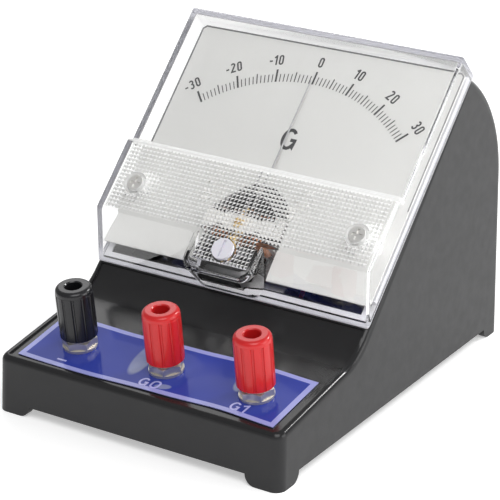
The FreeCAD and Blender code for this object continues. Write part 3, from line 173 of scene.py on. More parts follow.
OPAQUE_FINISHES = {
    "case_black": dict(colour=(0.017, 0.017, 0.018), roughness=0.42, grain=0.12, grain_scale=2200,
                       mottle=0.12, specular=0.34, top_gloss=0.35),
    "base_black": dict(colour=(0.025, 0.025, 0.026), roughness=0.5, grain=0.3, grain_scale=1800),
    "label_blue": dict(colour=(0.036, 0.056, 0.34), roughness=0.12, mottle=0.08, mottle_scale=60,
                       specular=0.1),
    "label_border": dict(colour=(0.33, 0.35, 0.72), roughness=0.2, mottle=0.05, specular=0.3),
    "label_mark": dict(colour=(0.46, 0.47, 0.86), roughness=0.3, mottle=0.05),
    "cap_black": dict(colour=(0.012, 0.012, 0.014), roughness=0.24, coat=0.1, grain=0.06,
                      specular=0.4),
    "cap_red": dict(colour=(0.60, 0.016, 0.018), roughness=0.3, coat=0.3, grain=0.06,
                    subsurface=0.05, specular=0.3),
    "nickel": dict(colour=(0.70, 0.665, 0.60), roughness=0.3, metal=0.78, grain=0.15,
                   grain_scale=900, mottle=0.08, stretch=(1, 1, 6)),
    "steel": dict(colour=(0.80, 0.79, 0.77), roughness=0.34, metal=0.6, grain=0.25,
                  grain_scale=1400, mottle=0.1),
    "brass": dict(colour=(0.74, 0.55, 0.26), roughness=0.32, metal=1, grain=0.25,
                  grain_scale=1600, mottle=0.12),
    "cover_foot": dict(colour=(0.62, 0.62, 0.67), roughness=0.6, mottle=0.05, grain=0.2),
    "frame_white": dict(colour=(0.80, 0.80, 0.84), roughness=0.42, mottle=0.02, grain=0.1),
    "dial": dict(colour=(0.655, 0.655, 0.64), roughness=0.38, mottle=0.015, mottle_scale=500,
                 grain=0.1, grain_scale=3000, specular=0.6),
    # Colour of the painted shade line along the dial's edges.
    "shade_line_grey": dict(colour=(0.14, 0.14, 0.145), roughness=0.5, mottle=0.2, mottle_scale=300),
    "print": dict(colour=(0.035, 0.036, 0.038), roughness=0.5, mottle=0.15, mottle_scale=900),
    "iron": dict(colour=(0.035, 0.034, 0.035), roughness=0.45, metal=0.6, grain=0.3, mottle=0.2),
    "magnet": dict(colour=(0.12, 0.11, 0.11), roughness=0.4, metal=0.8, grain=0.3, mottle=0.15),
    "aluminium": dict(colour=(0.75, 0.75, 0.77), roughness=0.3, metal=1, grain=0.15),
    "copper": dict(colour=(0.62, 0.27, 0.13), roughness=0.3, metal=0.85, grain=0.5,
                   grain_scale=2500, mottle=0.2),
    "pointer_grey": dict(colour=(0.34, 0.34, 0.345), roughness=0.4, mottle=0.1),
    "screw_white": dict(colour=(0.86, 0.85, 0.92), roughness=0.35, mottle=0.02, grain=0.08,
                        subsurface=0.05),
    "resistor": dict(colour=(0.55, 0.40, 0.22), roughness=0.5, mottle=0.15),
    "wire_black": dict(colour=(0.02, 0.02, 0.02), roughness=0.4, mottle=0.1, grain=0.1),
    "wire_red": dict(colour=(0.45, 0.02, 0.02), roughness=0.4, mottle=0.1, grain=0.1),
}
CLEAR_FINISHES = {
    "clear_cover": dict(tint=(1, 1, 1), roughness=0.02),
    "cover_haze": dict(tint=(0.93, 0.93, 0.925), roughness=0.06, haze=0.8),
}

# Painted reflections: pale patches on the label's film where its bulges would mirror the bright
# cover. x, y, half width and half depth in metres, and the turn in degrees.
PAINTED_REFLECTIONS = (
    (-0.0085, -0.0503, 0.0030, 0.0088, 8),
    (0.0245, -0.0490, 0.0022, 0.0042, 10),
    (0.0050, -0.0600, 0.0028, 0.0014, 15),
)
# Colour of the painted reflections on the label.
PAINTED_REFLECTION_COLOUR = (0.30, 0.34, 0.50)
PATCH_EDGE = 0.8  # a patch fades from this part of its radius outwards
PATCH_STRENGTH = (0.55, 0.95)
PATCH_PATTERN = 150


def node_of(tree, kind, **settings):
    node = tree.nodes.new(kind)
    for name, setting in settings.items():
        setattr(node, name, setting)
    return node


def noise_node(tree, coords, scale, detail=3.0, stretch=(1, 1, 1)):
    mapping = node_of(tree, "ShaderNodeMapping")
    mapping.inputs["Scale"].default_value = stretch
    tree.links.new(coords, mapping.inputs["Vector"])
    item = node_of(tree, "ShaderNodeTexNoise")
    item.inputs["Scale"].default_value = scale
    item.inputs["Detail"].default_value = detail
    tree.links.new(mapping.outputs["Vector"], item.inputs["Vector"])
    return item.outputs["Fac"]


def ramp(tree, factor, low, high):
    """Spread a factor between two numbers."""
    item = node_of(tree, "ShaderNodeMapRange")
    item.inputs["From Min"].default_value = SPREAD_FROM
    item.inputs["From Max"].default_value = SPREAD_TO
    item.inputs["To Min"].default_value = low
    item.inputs["To Max"].default_value = high
    tree.links.new(factor, item.inputs["Value"])
    return item.outputs["Result"]


def combined(tree, operation, first, second):
    """One number out of two by a Math node."""
    item = node_of(tree, "ShaderNodeMath", operation=operation)
    tree.links.new(first, item.inputs[0])
    tree.links.new(second, item.inputs[1])
    return item.outputs["Value"]


def add_bump(tree, shader, height, strength, depth):
    bump = node_of(tree, "ShaderNodeBump")
    bump.inputs["Strength"].default_value = strength
    bump.inputs["Distance"].default_value = depth
    tree.links.new(height, bump.inputs["Height"])
    tree.links.new(bump.outputs["Normal"], shader.inputs["Normal"])


def new_material(name):
    """A material with nodes, with its tree, its shader and the object's coordinates."""
    item = bpy.data.materials.new(name)
    item.use_nodes = True
    tree = item.node_tree
    coords = node_of(tree, "ShaderNodeTexCoord").outputs["Object"]
    return item, tree, tree.nodes["Principled BSDF"], coords


def material(name, colour, roughness, metal=0.0, coat=0.0, mottle=0.06, mottle_scale=120,
             grain=0.0, grain_scale=1500, stretch=(1, 1, 1), polish=0.08, subsurface=0.0,
             specular=0.5, glow=0.0, top_gloss=1.0):
    """Opaque finish with uneven colour, uneven gloss and a fine surface grain. top_gloss below 1
    polishes the faces that look up."""
    item, tree, shader, coords = new_material(name)
    blend = node_of(tree, "ShaderNodeMix", data_type="RGBA")
    blend.inputs["A"].default_value = (*[part * (1 - mottle) for part in colour], 1)
    blend.inputs["B"].default_value = (*[min(part * (1 + mottle), 1) for part in colour], 1)
    tree.links.new(noise_node(tree, coords, mottle_scale, stretch=stretch), blend.inputs["Factor"])
    tree.links.new(blend.outputs["Result"], shader.inputs["Base Color"])
    pattern = noise_node(tree, coords, mottle_scale * GLOSS_PATTERN, 4, stretch)
    gloss = ramp(tree, pattern, roughness - polish * roughness, roughness + polish * roughness)
    if top_gloss < 1:
        upward = node_of(tree, "ShaderNodeSeparateXYZ")
        normal = node_of(tree, "ShaderNodeNewGeometry").outputs["Normal"]
        tree.links.new(normal, upward.inputs["Vector"])
        rubbed = ramp(tree, upward.outputs["Z"], 1.0, top_gloss)
        gloss = combined(tree, "MULTIPLY", gloss, rubbed)
    tree.links.new(gloss, shader.inputs["Roughness"])
    shader.inputs["Metallic"].default_value = metal
    shader.inputs["Coat Weight"].default_value = coat
    shader.inputs["Coat Roughness"].default_value = COAT_ROUGHNESS
    shader.inputs["Specular IOR Level"].default_value = specular
    shader.inputs["Subsurface Weight"].default_value = subsurface
    shader.inputs["Subsurface Scale"].default_value = SUBSURFACE_SCALE
    shader.inputs["Emission Color"].default_value = (1, 1, 1, 1)
    shader.inputs["Emission Strength"].default_value = glow
    if grain:
        specks = noise_node(tree, coords, grain_scale, 2, stretch)
        add_bump(tree, shader, specks, grain, GRAIN_DEPTH)
    return item


def add_pale_patches(item, patches, colour):
    """Paint soft-edged pale ellipses over a finish, as seen from above: painted reflections."""
    tree = item.node_tree
    shader = tree.nodes["Principled BSDF"]
    coords = node_of(tree, "ShaderNodeTexCoord").outputs["Object"]
    total = None
    for x, y, half_width, half_depth, turn in patches:
        mapping = node_of(tree, "ShaderNodeMapping", vector_type="TEXTURE")
        mapping.inputs["Location"].default_value = (x, y, 0)
        mapping.inputs["Rotation"].default_value = (0, 0, math.radians(turn))
        mapping.inputs["Scale"].default_value = (half_width, half_depth, 100)
        tree.links.new(coords, mapping.inputs["Vector"])
        distance = node_of(tree, "ShaderNodeVectorMath", operation="LENGTH")
        tree.links.new(mapping.outputs["Vector"], distance.inputs[0])
        inside = node_of(tree, "ShaderNodeMapRange")
        inside.inputs["From Min"].default_value = 1.0
        inside.inputs["From Max"].default_value = PATCH_EDGE
        tree.links.new(distance.outputs["Value"], inside.inputs["Value"])
        patch = inside.outputs["Result"]
        total = patch if total is None else combined(tree, "MAXIMUM", total, patch)
    uneven = ramp(tree, noise_node(tree, coords, PATCH_PATTERN, 2), *PATCH_STRENGTH)
    blend = node_of(tree, "ShaderNodeMix", data_type="RGBA")
    tree.links.new(combined(tree, "MULTIPLY", total, uneven), blend.inputs["Factor"])
    tree.links.new(shader.inputs["Base Color"].links[0].from_socket, blend.inputs["A"])
    blend.inputs["B"].default_value = (*colour, 1)
    tree.links.new(blend.outputs["Result"], shader.inputs["Base Color"])


def clear_material(name, tint, roughness, haze=0.0):
    """Clear or hazy moulded plastic. Rays from lamps pass straight through, so what is behind it
    stays lit."""
    item, tree, shader, coords = new_material(name)
    shader.inputs["Transmission Weight"].default_value = 1.0 - haze
    shader.inputs["IOR"].default_value = CLEAR_INDEX
    shader.inputs["Base Color"].default_value = (*tint, 1)
    least, most = [roughness * part for part in CLEAR_GLOSS]
    gloss = ramp(tree, noise_node(tree, coords, CLEAR_PATTERN, 4), least, most)
    tree.links.new(gloss, shader.inputs["Roughness"])
    ripple = noise_node(tree, coords, CLEAR_RIPPLE_PATTERN, 1)
    add_bump(tree, shader, ripple, CLEAR_RIPPLE, CLEAR_RIPPLE_DEPTH)
    path = node_of(tree, "ShaderNodeLightPath")
    open_way = node_of(tree, "ShaderNodeBsdfTransparent")
    open_way.inputs["Color"].default_value = CLEAR_SHADOW
    mix = node_of(tree, "ShaderNodeMixShader")
    tree.links.new(path.outputs["Is Shadow Ray"], mix.inputs[0])
    tree.links.new(shader.outputs["BSDF"], mix.inputs[1])
    tree.links.new(open_way.outputs["BSDF"], mix.inputs[2])
    output = next(node for node in tree.nodes if node.type == "OUTPUT_MATERIAL")
    tree.links.new(mix.outputs["Shader"], output.inputs["Surface"])
    return item


def finishes():
    """One material for each slot of the record, and a few for printed marks, a painted shade line and the cover;
    the label's finish also gets painted reflections.
    """
    made = {name: material(name, **settings) for name, settings in OPAQUE_FINISHES.items()}
    for name, settings in CLEAR_FINISHES.items():
        made[name] = clear_material(name, **settings)
    # The label's film gets pale painted reflections of the bright cover.
    add_pale_patches(made["label_blue"], PAINTED_REFLECTIONS, PAINTED_REFLECTION_COLOUR)
    return made


def dress_nodes(finish):
    for part in record["subparts"]:
        item = frame["nodes"][part["node"]]
        item.data.materials.clear()
        item.data.materials.append(finish[part["material_slot"]])


# ---------------------------------------------------------------- mesh helpers

BEVEL_ANGLE = 25
MERGE_DISTANCE = 0.002
FLAT_ANGLE = 1.0


def add_piece(name, builder, place, body, slot, *materials, replaces=()):
    """Turn a bmesh in surface millimetres into a piece that rides on a body."""
    mesh = bpy.data.meshes.new(name)
    builder.transform(place)
    bmesh.ops.recalc_face_normals(builder, faces=builder.faces)
    builder.to_mesh(mesh)
    builder.free()
    item = bpy.data.objects.new(name, mesh)
    bpy.context.scene.collection.objects.link(item)
    for finish in materials:
        mesh.materials.append(finish)
    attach(item, body)
    if replaces:
        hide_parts(*replaces)
    return item


def prism(outline, low, high, axes="xyz"):
    """Closed prism: an outline of (a, b) points drawn out along c, with a, b, c laid on the named
    axes."""
    builder = bmesh.new()
    order = ["xyz".index(axis) for axis in axes]

    def corner(a, b, c):
        place = [0.0, 0.0, 0.0]
        for index, number in zip(order, (a, b, c)):
            place[index] = number
        return builder.verts.new(place)
    bottom = [corner(a, b, low) for a, b in outline]
    top = [corner(a, b, high) for a, b in outline]
    builder.faces.new(bottom)
    builder.faces.new(reversed(top))
    for index, start in enumerate(bottom):
        following = (index + 1) % len(bottom)
        builder.faces.new((bottom[following], start, top[index], top[following]))
    bmesh.ops.recalc_face_normals(builder, faces=builder.faces)
    return builder


def circle(x, y, radius, steps=40):
    return [(x + radius * math.cos(math.tau * step / steps),
             y + radius * math.sin(math.tau * step / steps)) for step in range(steps)]


def rounded_rectangle(left, right, low, high, radius, steps):
    points = []
    for x, y, start in ((right - radius, high - radius, 0), (left + radius, high - radius, 90),
                        (left + radius, low + radius, 180), (right - radius, low + radius, 270)):
        for step in range(steps + 1):
            angle = math.radians(start + 90 * step / steps)
            points.append((x + radius * math.cos(angle), y + radius * math.sin(angle)))
    return points


def scratch(name, builder):
    """A plain object for booleans and modifiers, in millimetres."""
    mesh = bpy.data.meshes.new(name)
    builder.to_mesh(mesh)
    builder.free()
    item = bpy.data.objects.new(name, mesh)
    bpy.context.scene.collection.objects.link(item)
    return item


def taken_up(item):
    """The bmesh of a scratch object, which goes away."""
    builder = bmesh.new()
    builder.from_mesh(item.data)
    bpy.data.objects.remove(item)
    return builder


def settle(item):
    """Apply an object's modifiers."""
    graph = bpy.context.evaluated_depsgraph_get()
    graph.update()
    mesh = bpy.data.meshes.new_from_object(item.evaluated_get(graph))
    item.modifiers.clear()
    old = item.data
    item.data = mesh
    bpy.data.meshes.remove(old)


def boolean(item, other, operation):
    """Join another scratch object to an object or cut it away; the other one goes away."""
    modifier = item.modifiers.new("boolean", "BOOLEAN")
    modifier.operation = operation
    modifier.solver = "EXACT"
    modifier.object = other
    settle(item)
    bpy.data.objects.remove(other)


def bevel(item, width, segments=3):
    modifier = item.modifiers.new("bevel", "BEVEL")
    modifier.width = width
    modifier.segments = segments
    modifier.limit_method = "ANGLE"
    modifier.angle_limit = math.radians(BEVEL_ANGLE)
    modifier.use_clamp_overlap = True
    settle(item)


def clean(item):
    """Merge doubled points and dissolve edges inside flat faces."""
    builder = bmesh.new()
    builder.from_mesh(item.data)
    bmesh.ops.remove_doubles(builder, verts=builder.verts, dist=MERGE_DISTANCE)
    bmesh.ops.dissolve_limit(builder, angle_limit=math.radians(FLAT_ANGLE), verts=builder.verts,
                             edges=builder.edges)
    builder.to_mesh(item.data)
    builder.free()


def smooth_by_angle(item, degrees):
    for polygon in item.data.polygons:
        polygon.use_smooth = True
    item.data.set_sharp_from_angle(angle=math.radians(degrees))


# ---------------------------------------------------------------- clear cover

COVER_HALF = 48.0
COVER_WALL = 1.6
COVER_LOW = 0.1
COVER_TOP = 86.3
COVER_ROUND = 0.8
ROOM_ROUND = 0.5
ROOM_LOW = -1
CHIN = 12.7  # where the leaning lower wall meets the textured band
PLATEAU = 13.25  # level of the textured band
PLATEAU_END = 37.0
RAMP = 0.6
STEP_WALL = 0.5
WINDOW = 10.9  # level of the window
FOOT_LEVEL = 0.9

NOSE_HALF = 12.5
NOSE_LOW = 0.4
NOSE_INTO = 8  # how far the nose runs on under the band
NOSE_HIDDEN = 2  # how much of that is kept
NOSE_CORNER = 4.6
NOSE_ROUND = 1.9
NOSE_ROOM_CORNER = 3.2

TEXTURE_PITCH = 1.3
TEXTURE_DEPTH = 0.5
TEXTURE_SLAB = 1.0
OVERLAP = 0.01
BAND_TEXTURE = (COVER_HALF - 2.6, CHIN + 1.3, PLATEAU_END - 0.9)
NOSE_TEXTURE = (NOSE_HALF - 2.9, 4.6, CHIN + 1.29)

SCREW_X = 38.9
SCREW_ALONG = 23.3
ADJUSTER_ALONG = 8.86
WELL_RADIUS = 4.0
BOSS = (3.7, 3.9)  # radius and lowest level
ADJUSTER_SEAT = (3.9, 10)
# radius and depth of the sink, radius and lowest level of the hole
SCREW_BORE = (2.85, 1.9, 1.6, 3)
ADJUSTER_BORE = (3.6, 0.6, 2.05, 9)

CLEAR, FOOT, HAZE = 0, 1, 2  # the cover's material slots
SKIN = 0.02  # faces this close to the ceiling are its flat margin, not its pyramids
RAMP_MARGIN = 0.9
FLAT_NORMAL = 0.98


def textured_ceiling(half, low, high, base):
    """Slab whose top is a field of small pyramids."""
    columns = round(2 * half / TEXTURE_PITCH)
    rows = round((high - low) / TEXTURE_PITCH)
    step_x, step_y = 2 * half / columns, (high - low) / rows
    builder = bmesh.new()
    grid = [[builder.verts.new((column * step_x - half, low + row * step_y, base))
             for column in range(columns + 1)] for row in range(rows + 1)]
    for row in range(rows):
        for column in range(columns):
            square = (grid[row][column], grid[row][column + 1],
                      grid[row + 1][column + 1], grid[row + 1][column])
            middle = sum((corner.co for corner in square), Vector()) / 4
            tip = builder.verts.new((middle.x, middle.y, base + TEXTURE_DEPTH))
            for start, end in zip(square, square[1:] + square[:1]):
                builder.faces.new((start, end, tip))
    rim = ([grid[0][column] for column in range(columns + 1)]
           + [grid[row][columns] for row in range(1, rows + 1)]
           + [grid[rows][column] for column in range(columns - 1, -1, -1)]
           + [grid[row][0] for row in range(rows - 1, 0, -1)])
    foot = [builder.verts.new((corner.co.x, corner.co.y, base - TEXTURE_SLAB)) for corner in rim]
    for index, start in enumerate(rim):
        following = (index + 1) % len(rim)
        builder.faces.new((start, rim[following], foot[following], foot[index]))
    builder.faces.new(foot)
    bmesh.ops.recalc_face_normals(builder, faces=builder.faces)
    return builder


def cover_finish(face):
    """Which finish a face of the cover has: clear, the frosted foot, or the hazy texture, screw
    wells and ramp."""
    middle = face.calc_center_median()
    ceiling = PLATEAU - COVER_WALL
    if max(vert.co.z for vert in face.verts) < FOOT_LEVEL:
        return FOOT
    from_screw = math.hypot(abs(middle.x) - SCREW_X, middle.y - SCREW_ALONG)
    in_well = from_screw < WELL_RADIUS and middle.z < PLATEAU - OVERLAP
    on_texture = (ceiling + SKIN < middle.z < ceiling + TEXTURE_DEPTH
                  and abs(middle.x) < COVER_HALF - COVER_WALL)
    frosted_facet = on_texture and face.normal.x > face.normal.y
    on_ramp = (-RAMP_MARGIN < middle.y - PLATEAU_END < RAMP + RAMP_MARGIN
               and middle.z > WINDOW - COVER_WALL - 0.1 and abs(face.normal.z) < FLAT_NORMAL)
    return HAZE if in_well or frosted_facet or on_ramp else CLEAR


def cut_slab(item, along_low, along_high, low, high, half=30):
    """Cut away a slab that is wider than the nose."""
    outline = [(-half, along_low), (half, along_low), (half, along_high), (-half, along_high)]
    boolean(item, scratch("slab", prism(outline, low, high)), "DIFFERENCE")


def leave_boss(room, x, along, radius, low):
    """Take a round boss out of the room under the cover."""
    boolean(room, scratch("boss", prism(circle(x, along, radius), low, PLATEAU)), "DIFFERENCE")


def bore(item, x, along, sink_radius, sink_depth, hole_radius, hole_low):
    sink = prism(circle(x, along, sink_radius), PLATEAU - sink_depth, PLATEAU + 1)
    boolean(item, scratch("sink", sink), "DIFFERENCE")
    hole = prism(circle(x, along, hole_radius, 24), hole_low, PLATEAU)
    boolean(item, scratch("hole", hole), "DIFFERENCE")


def cover_outside():
    profile = [(COVER_LOW, 0), (CHIN, PLATEAU), (PLATEAU_END, PLATEAU),
               (PLATEAU_END + RAMP, WINDOW), (COVER_TOP, WINDOW), (COVER_TOP, 0)]
    outside = scratch("outside", prism(profile, -COVER_HALF, COVER_HALF, "yzx"))
    bevel(outside, COVER_ROUND)
    outline = rounded_rectangle(-NOSE_HALF, NOSE_HALF, NOSE_LOW, CHIN + NOSE_INTO, NOSE_CORNER, 10)
    nose = scratch("nose", prism(outline, -4, PLATEAU))
    bevel(nose, NOSE_ROUND, 5)
    cut_slab(nose, -5, 30, -9, 0)
    cut_slab(nose, CHIN + NOSE_HIDDEN, 40, -1, 20)
    boolean(outside, nose, "UNION")
    clean(outside)
    return outside


def cover_room():
    """The space under the cover, with its textured ceiling."""
    slant = (CHIN - COVER_LOW) / PLATEAU
    inset = COVER_WALL * math.hypot(1, slant)
    ceiling = PLATEAU - COVER_WALL
    half, far, window = COVER_HALF - COVER_WALL, COVER_TOP - COVER_WALL, WINDOW - COVER_WALL
    profile = [(COVER_LOW - slant + inset, ROOM_LOW), (CHIN - slant * COVER_WALL + inset, ceiling),
               (PLATEAU_END - STEP_WALL, ceiling), (PLATEAU_END + RAMP - STEP_WALL, window),
               (far, window), (far, ROOM_LOW)]
    room = scratch("room", prism(profile, -half, half, "yzx"))
    outline = rounded_rectangle(COVER_WALL - NOSE_HALF, NOSE_HALF - COVER_WALL,
                                NOSE_LOW + COVER_WALL, CHIN + NOSE_INTO, NOSE_ROOM_CORNER, 8)
    boolean(room, scratch("nose_room", prism(outline, ROOM_LOW, ceiling)), "UNION")
    clean(room)
    bevel(room, ROOM_ROUND, 2)
    for area in (BAND_TEXTURE, NOSE_TEXTURE):
        boolean(room, scratch("texture", textured_ceiling(*area, ceiling - OVERLAP)), "UNION")
    for x in (-SCREW_X, SCREW_X):
        leave_boss(room, x, SCREW_ALONG, *BOSS)
    leave_boss(room, 0, ADJUSTER_ALONG, *ADJUSTER_SEAT)
    return room


def clear_cover(clear, frosted, hazy):
    cover = cover_outside()
    boolean(cover, cover_room(), "DIFFERENCE")
    for x in (-SCREW_X, SCREW_X):
        bore(cover, x, SCREW_ALONG, *SCREW_BORE)
    bore(cover, 0, ADJUSTER_ALONG, *ADJUSTER_BORE)
    builder = taken_up(cover)
    for face in builder.faces:
        face.material_index = cover_finish(face)
    item = add_piece("cover_moulding", builder, SLOPE, "case", "clear_cover", clear, frosted, hazy,
                     replaces=["clear_cover"])
    smooth_by_angle(item, 30)


# ---------------------------------------------------------------- printed marks

PRINT_THICK = 0.04


def ribbon(builder, points, width, height, level, closed=False):
    """Flat stroke with square ends along a line of points, with a small thickness."""
    count = len(points)
    sides = []
    for index, point in enumerate(points):
        before = points[index - 1] if closed or index else point
        after = points[(index + 1) % count] if closed or index < count - 1 else point
        into = (Vector(point) - Vector(before)).normalized() if before != point else None
        onward = (Vector(after) - Vector(point)).normalized() if after != point else None
        into, onward = into or onward, onward or into
        normal = Vector((-into.y - onward.y, into.x + onward.x)).normalized()
        reach = width / 2 / max(normal.dot(Vector((-into.y, into.x))), 0.5)
        corners = []
        for z in (level, level + height):
            corners += [builder.verts.new((*(Vector(point) + side * reach * normal), z))
                        for side in (1, -1)]
        sides.append(corners)
    spans = list(zip(sides, sides[1:] + sides[:1] if closed else sides[1:]))
    for (left, right, left_top, right_top), (left_on, right_on, left_top_on, right_top_on) in spans:
        builder.faces.new((left_top, right_top, right_top_on, left_top_on))
        builder.faces.new((left, left_top, left_top_on, left_on))
        builder.faces.new((right_top, right, right_on, right_top_on))
        builder.faces.new((right, left, left_on, right_on))
    if not closed:
        for left, right, left_top, right_top in (sides[0], sides[-1]):
            builder.faces.new((left, right, right_top, left_top))


def bow(x, y, radius_x, radius_y, start, end, steps=10):
    return [(x + radius_x * math.cos(math.radians(start + (end - start) * step / steps)),
             y + radius_y * math.sin(math.radians(start + (end - start) * step / steps)))
            for step in range(steps + 1)]


def glyph(character, width, stroke):
    """Strokes of a narrow upright character, one unit high: (points, closed) pairs."""
    half, edge = (width - stroke) / 2, stroke / 2
    middle, top = width / 2, 1 - edge
    if character == "0":
        return [(bow(middle, top - half, half, half, 0, 180)
                 + bow(middle, edge + half, half, half, 180, 360), True)]
    if character == "1":
        return [([(middle + edge, 0), (middle + edge, 1)], False),
                ([(middle + edge, top), (middle - half * 0.9, 0.74)], False)]
    if character == "2":
        arch = bow(middle, top - half, half, half, 165, -20)
        return [(arch + [(edge, edge), (width, edge)], False)]
    if character == "3":
        low, high = 0.27 * (1 - stroke), 0.23 * (1 - stroke)
        waist = [(middle - half * 0.3, 0.54)]
        return [(bow(middle, top - high, half, high, 150, -80) + waist, False),
                (waist + bow(middle, edge + low, half, low, 80, -150), False)]
    if character == "G":
        arm = bow(middle, 0.5, half, 0.5 - edge, 42, 325, 18)
        return [(arm + [(width - edge, 0.16), (width - edge, 0.47)], False),
                ([(width, 0.47), (middle + edge, 0.47)], False)]
    return [([(0, 0.42), (width * 0.62, 0.42)], False)]


def mark(builder, text, place, size, width, stroke, level, height=PRINT_THICK, spacing=0.16):
    """Write a short text centred on a place: a matrix that carries unit glyphs onto the surface."""
    advance = [width * (0.62 if character in "-1" else 1.0) + spacing for character in text]
    cursor = -(sum(advance) - spacing) / 2
    for character, step in zip(text, advance):
        shift = -width * 0.2 if character == "1" else 0.0
        for points, closed in glyph(character, width, stroke):
            spots = [place @ Vector(((cursor + shift + x) * size, (y - 0.5) * size, 0))
                     for x, y in points]
            ribbon(builder, [(spot.x, spot.y) for spot in spots], stroke * size, height, level,
                   closed)
        cursor += step


# ---------------------------------------------------------------- dial print and painted shade line

DIAL_FACE = 3.9
SCALE_MARKS = 30
SCALE_END = 41.54  # degrees from zero to the last mark
TICK_INNER = 52.09
TICK_TENS, TICK_FIVES, TICK_ONES = (4.44, 0.62), (3.5, 0.36), (2.75, 0.29)  # length and width
FIGURE_REACH = 59.9
FIGURE_SIZE, FIGURE_WIDTH = 3.5, 0.46
MINUS_SHIFT = 0.9
LETTER_PLACE = (0.4, 51.5, 0)
LETTER_SIZE, LETTER_WIDTH = 7.4, 0.72
PRINT_STROKE = 0.15
# Place, corner and width of the dark line of painted shade along the dial's sides and top.
BORDER_HALF, BORDER_TOP, BORDER_CORNER, BORDER_WIDTH = 45.6, 84.0, 1.0, 0.5


def border_print(finish):
    """Painted shade: a dark line along the sides and top of the dial, where the edge of the cover's inner wall
    looks dark.
    """
    border = bmesh.new()
    half, shoulder = BORDER_HALF, BORDER_TOP - BORDER_CORNER
    top = [(-half + BORDER_CORNER, BORDER_TOP), (half - BORDER_CORNER, BORDER_TOP)]
    ribbon(border, [(-half, PLATEAU_END), (-half, shoulder), *top, (half, shoulder),
                    (half, PLATEAU_END)], BORDER_WIDTH, PRINT_THICK, DIAL_FACE)
    add_piece("dial_shade_line", border, SLOPE, "case", "dial", finish)


def dial_print(finish):
    ticks, figures, letter = bmesh.new(), bmesh.new(), bmesh.new()
    centre = Vector((0, PIVOT_ALONG))
    for number in range(-SCALE_MARKS, SCALE_MARKS + 1):
        angle = math.radians(90 - number * SCALE_END / SCALE_MARKS)
        way = Vector((math.cos(angle), math.sin(angle)))
        length, width = (TICK_TENS if number % 10 == 0 else TICK_FIVES if number % 5 == 0
                         else TICK_ONES)
        ends = [tuple(centre + way * TICK_INNER), tuple(centre + way * (TICK_INNER + length))]
        ribbon(ticks, ends, width, PRINT_THICK, DIAL_FACE)
        if number % 10 == 0:
            spot = centre + way * FIGURE_REACH
            shift = way.orthogonal() * (MINUS_SHIFT if number < 0 else 0.0)
            place = Matrix.Translation((spot.x + shift.x, spot.y + shift.y, 0))
            upright = Matrix.Rotation(angle - math.pi / 2, 4, "Z")
            mark(figures, str(number), place @ upright, FIGURE_SIZE, FIGURE_WIDTH, PRINT_STROKE,
                 DIAL_FACE)
    mark(letter, "G", Matrix.Translation(LETTER_PLACE), LETTER_SIZE, LETTER_WIDTH, PRINT_STROKE,
         DIAL_FACE)
    pieces = (("dial_ticks", ticks), ("dial_figures", figures), ("dial_letter", letter))
    for name, builder in pieces:
        add_piece(name, builder, SLOPE, "case", "dial", finish)


# ---------------------------------------------------------------- label

LABEL_HALF = 43.9
LABEL_LOW = 3.8
LABEL_HIGH = 28.7
LABEL_EDGE = 1.7
LABEL_THICK = 0.25
LABEL_UNDER = 0.02
LABEL_COLUMNS = 56
LABEL_ROWS = 14
LABEL_HOLE = 3.6
CALM_RADIUS = 5.0  # the film lies flat this near a post, and lifts over the next stretch
CALM_FADE = 5.0
LIFT, WAVE, SWAY = 0.16, 0.22, 0.7
WAVE_NOISE = (0.055, 0.09, 3.7)  # scales of x and y, and the slice of the noise
SWAY_NOISE = (0.06, 0.02, 9.1)
MARK_WIDTH, MARK_THICK, MARK_SUNK, MARK_SPACING = 0.74, 0.1, 0.05, 0.2
SIGN_STROKE, TEXT_STROKE = 0.1, 0.15
# text, x, along, size
LABEL_TEXTS = (("-", -30.0, 7.1, 7.0), ("G0", 0.6, 7.3, 4.1), ("G1", 30.4, 8.0, 4.1))


def lifted(x, y, base):
    """Where a point of the flat film lies on the deck: it is wavy, but flat round the posts."""
    wave, drift = [noise.noise(Vector((x * scale_x, y * scale_y, slice)))
                   for scale_x, scale_y, slice in (WAVE_NOISE, SWAY_NOISE)]
    sway = drift * 0.5 - math.sin(math.tau * (x + LABEL_HALF) / (2 * LABEL_HALF))
    near_post = min(math.hypot(x - post, y - POST_ALONG) for post in POST_X.values())
    calm = min(max((near_post - CALM_RADIUS) / CALM_FADE, 0), 1)
    return (x, y + SWAY * sway * calm, base + (LIFT + WAVE * wave) * calm)


def edged(low, high, steps):
    """Places from low to high: a narrow border at each end, and even steps between them."""
    inner = high - low - 2 * LABEL_EDGE
    between = [low + LABEL_EDGE + inner * step / steps for step in range(1, steps)]
    return [low, low + LABEL_EDGE] + between + [high - LABEL_EDGE, high]


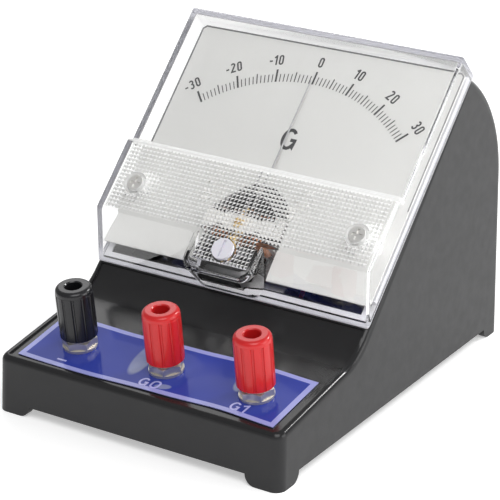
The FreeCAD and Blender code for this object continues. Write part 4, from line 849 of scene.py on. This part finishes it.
def label_film(film, border):
    """Slightly wavy printed film: a blue field in a pale border, with a hole round each post."""
    columns = edged(-LABEL_HALF, LABEL_HALF, LABEL_COLUMNS)
    rows = edged(LABEL_LOW, LABEL_HIGH, LABEL_ROWS)
    last_column, last_row = len(columns) - 1, len(rows) - 1
    builder = bmesh.new()
    top = [[builder.verts.new(lifted(x, y, LABEL_THICK)) for x in columns] for y in rows]
    bottom = [[builder.verts.new(lifted(x, y, LABEL_UNDER)) for x in columns] for y in rows]
    for row in range(last_row):
        for column in range(last_column):
            rim = row in (0, last_row - 1) or column in (0, last_column - 1)
            for layer in (top, bottom):
                face = builder.faces.new((layer[row][column], layer[row][column + 1],
                                          layer[row + 1][column + 1], layer[row + 1][column]))
                face.material_index = 1 if rim else 0
    edges = [(row, column, row, column + 1) for row in (0, last_row)
             for column in range(last_column)]
    edges += [(row, column, row + 1, column) for column in (0, last_column)
              for row in range(last_row)]
    for row, column, row_on, column_on in edges:
        face = builder.faces.new((top[row][column], top[row_on][column_on],
                                  bottom[row_on][column_on], bottom[row][column]))
        face.material_index = 1
    bmesh.ops.recalc_face_normals(builder, faces=builder.faces)
    base = scratch("film", builder)
    base.data.materials.append(film)
    base.data.materials.append(border)
    for x in POST_X.values():
        hole = prism(circle(x, POST_ALONG, LABEL_HOLE), -2, 3)
        boolean(base, scratch("post_hole", hole), "DIFFERENCE")
    item = add_piece("label_film", taken_up(base), DECK, "case", "label_blue", film, border,
                     replaces=["terminal_label"])
    smooth_by_angle(item, 40)


def label_marks(finish):
    """The range marks, which follow the film."""
    signs = bmesh.new()
    for text, x, along, size in LABEL_TEXTS:
        stroke = TEXT_STROKE if len(text) > 1 else SIGN_STROKE
        mark(signs, text, Matrix.Translation((x, along, 0)), size, MARK_WIDTH, stroke, 0,
             MARK_THICK, MARK_SPACING)
    for vert in signs.verts:
        vert.co.z += lifted(vert.co.x, vert.co.y, LABEL_THICK - MARK_SUNK)[2]
    add_piece("label_marks", signs, DECK, "case", "label_blue", finish)


# ---------------------------------------------------------------- everything

finish = finishes()
dress_nodes(finish)
camera()
floor()
studio()
clear_cover(finish["clear_cover"], finish["cover_foot"], finish["cover_haze"])
# A dark line of painted shade along the dial's edges.
border_print(finish["shade_line_grey"])
dial_print(finish["print"])
label_film(finish["label_blue"], finish["label_border"])
label_marks(finish["label_mark"])
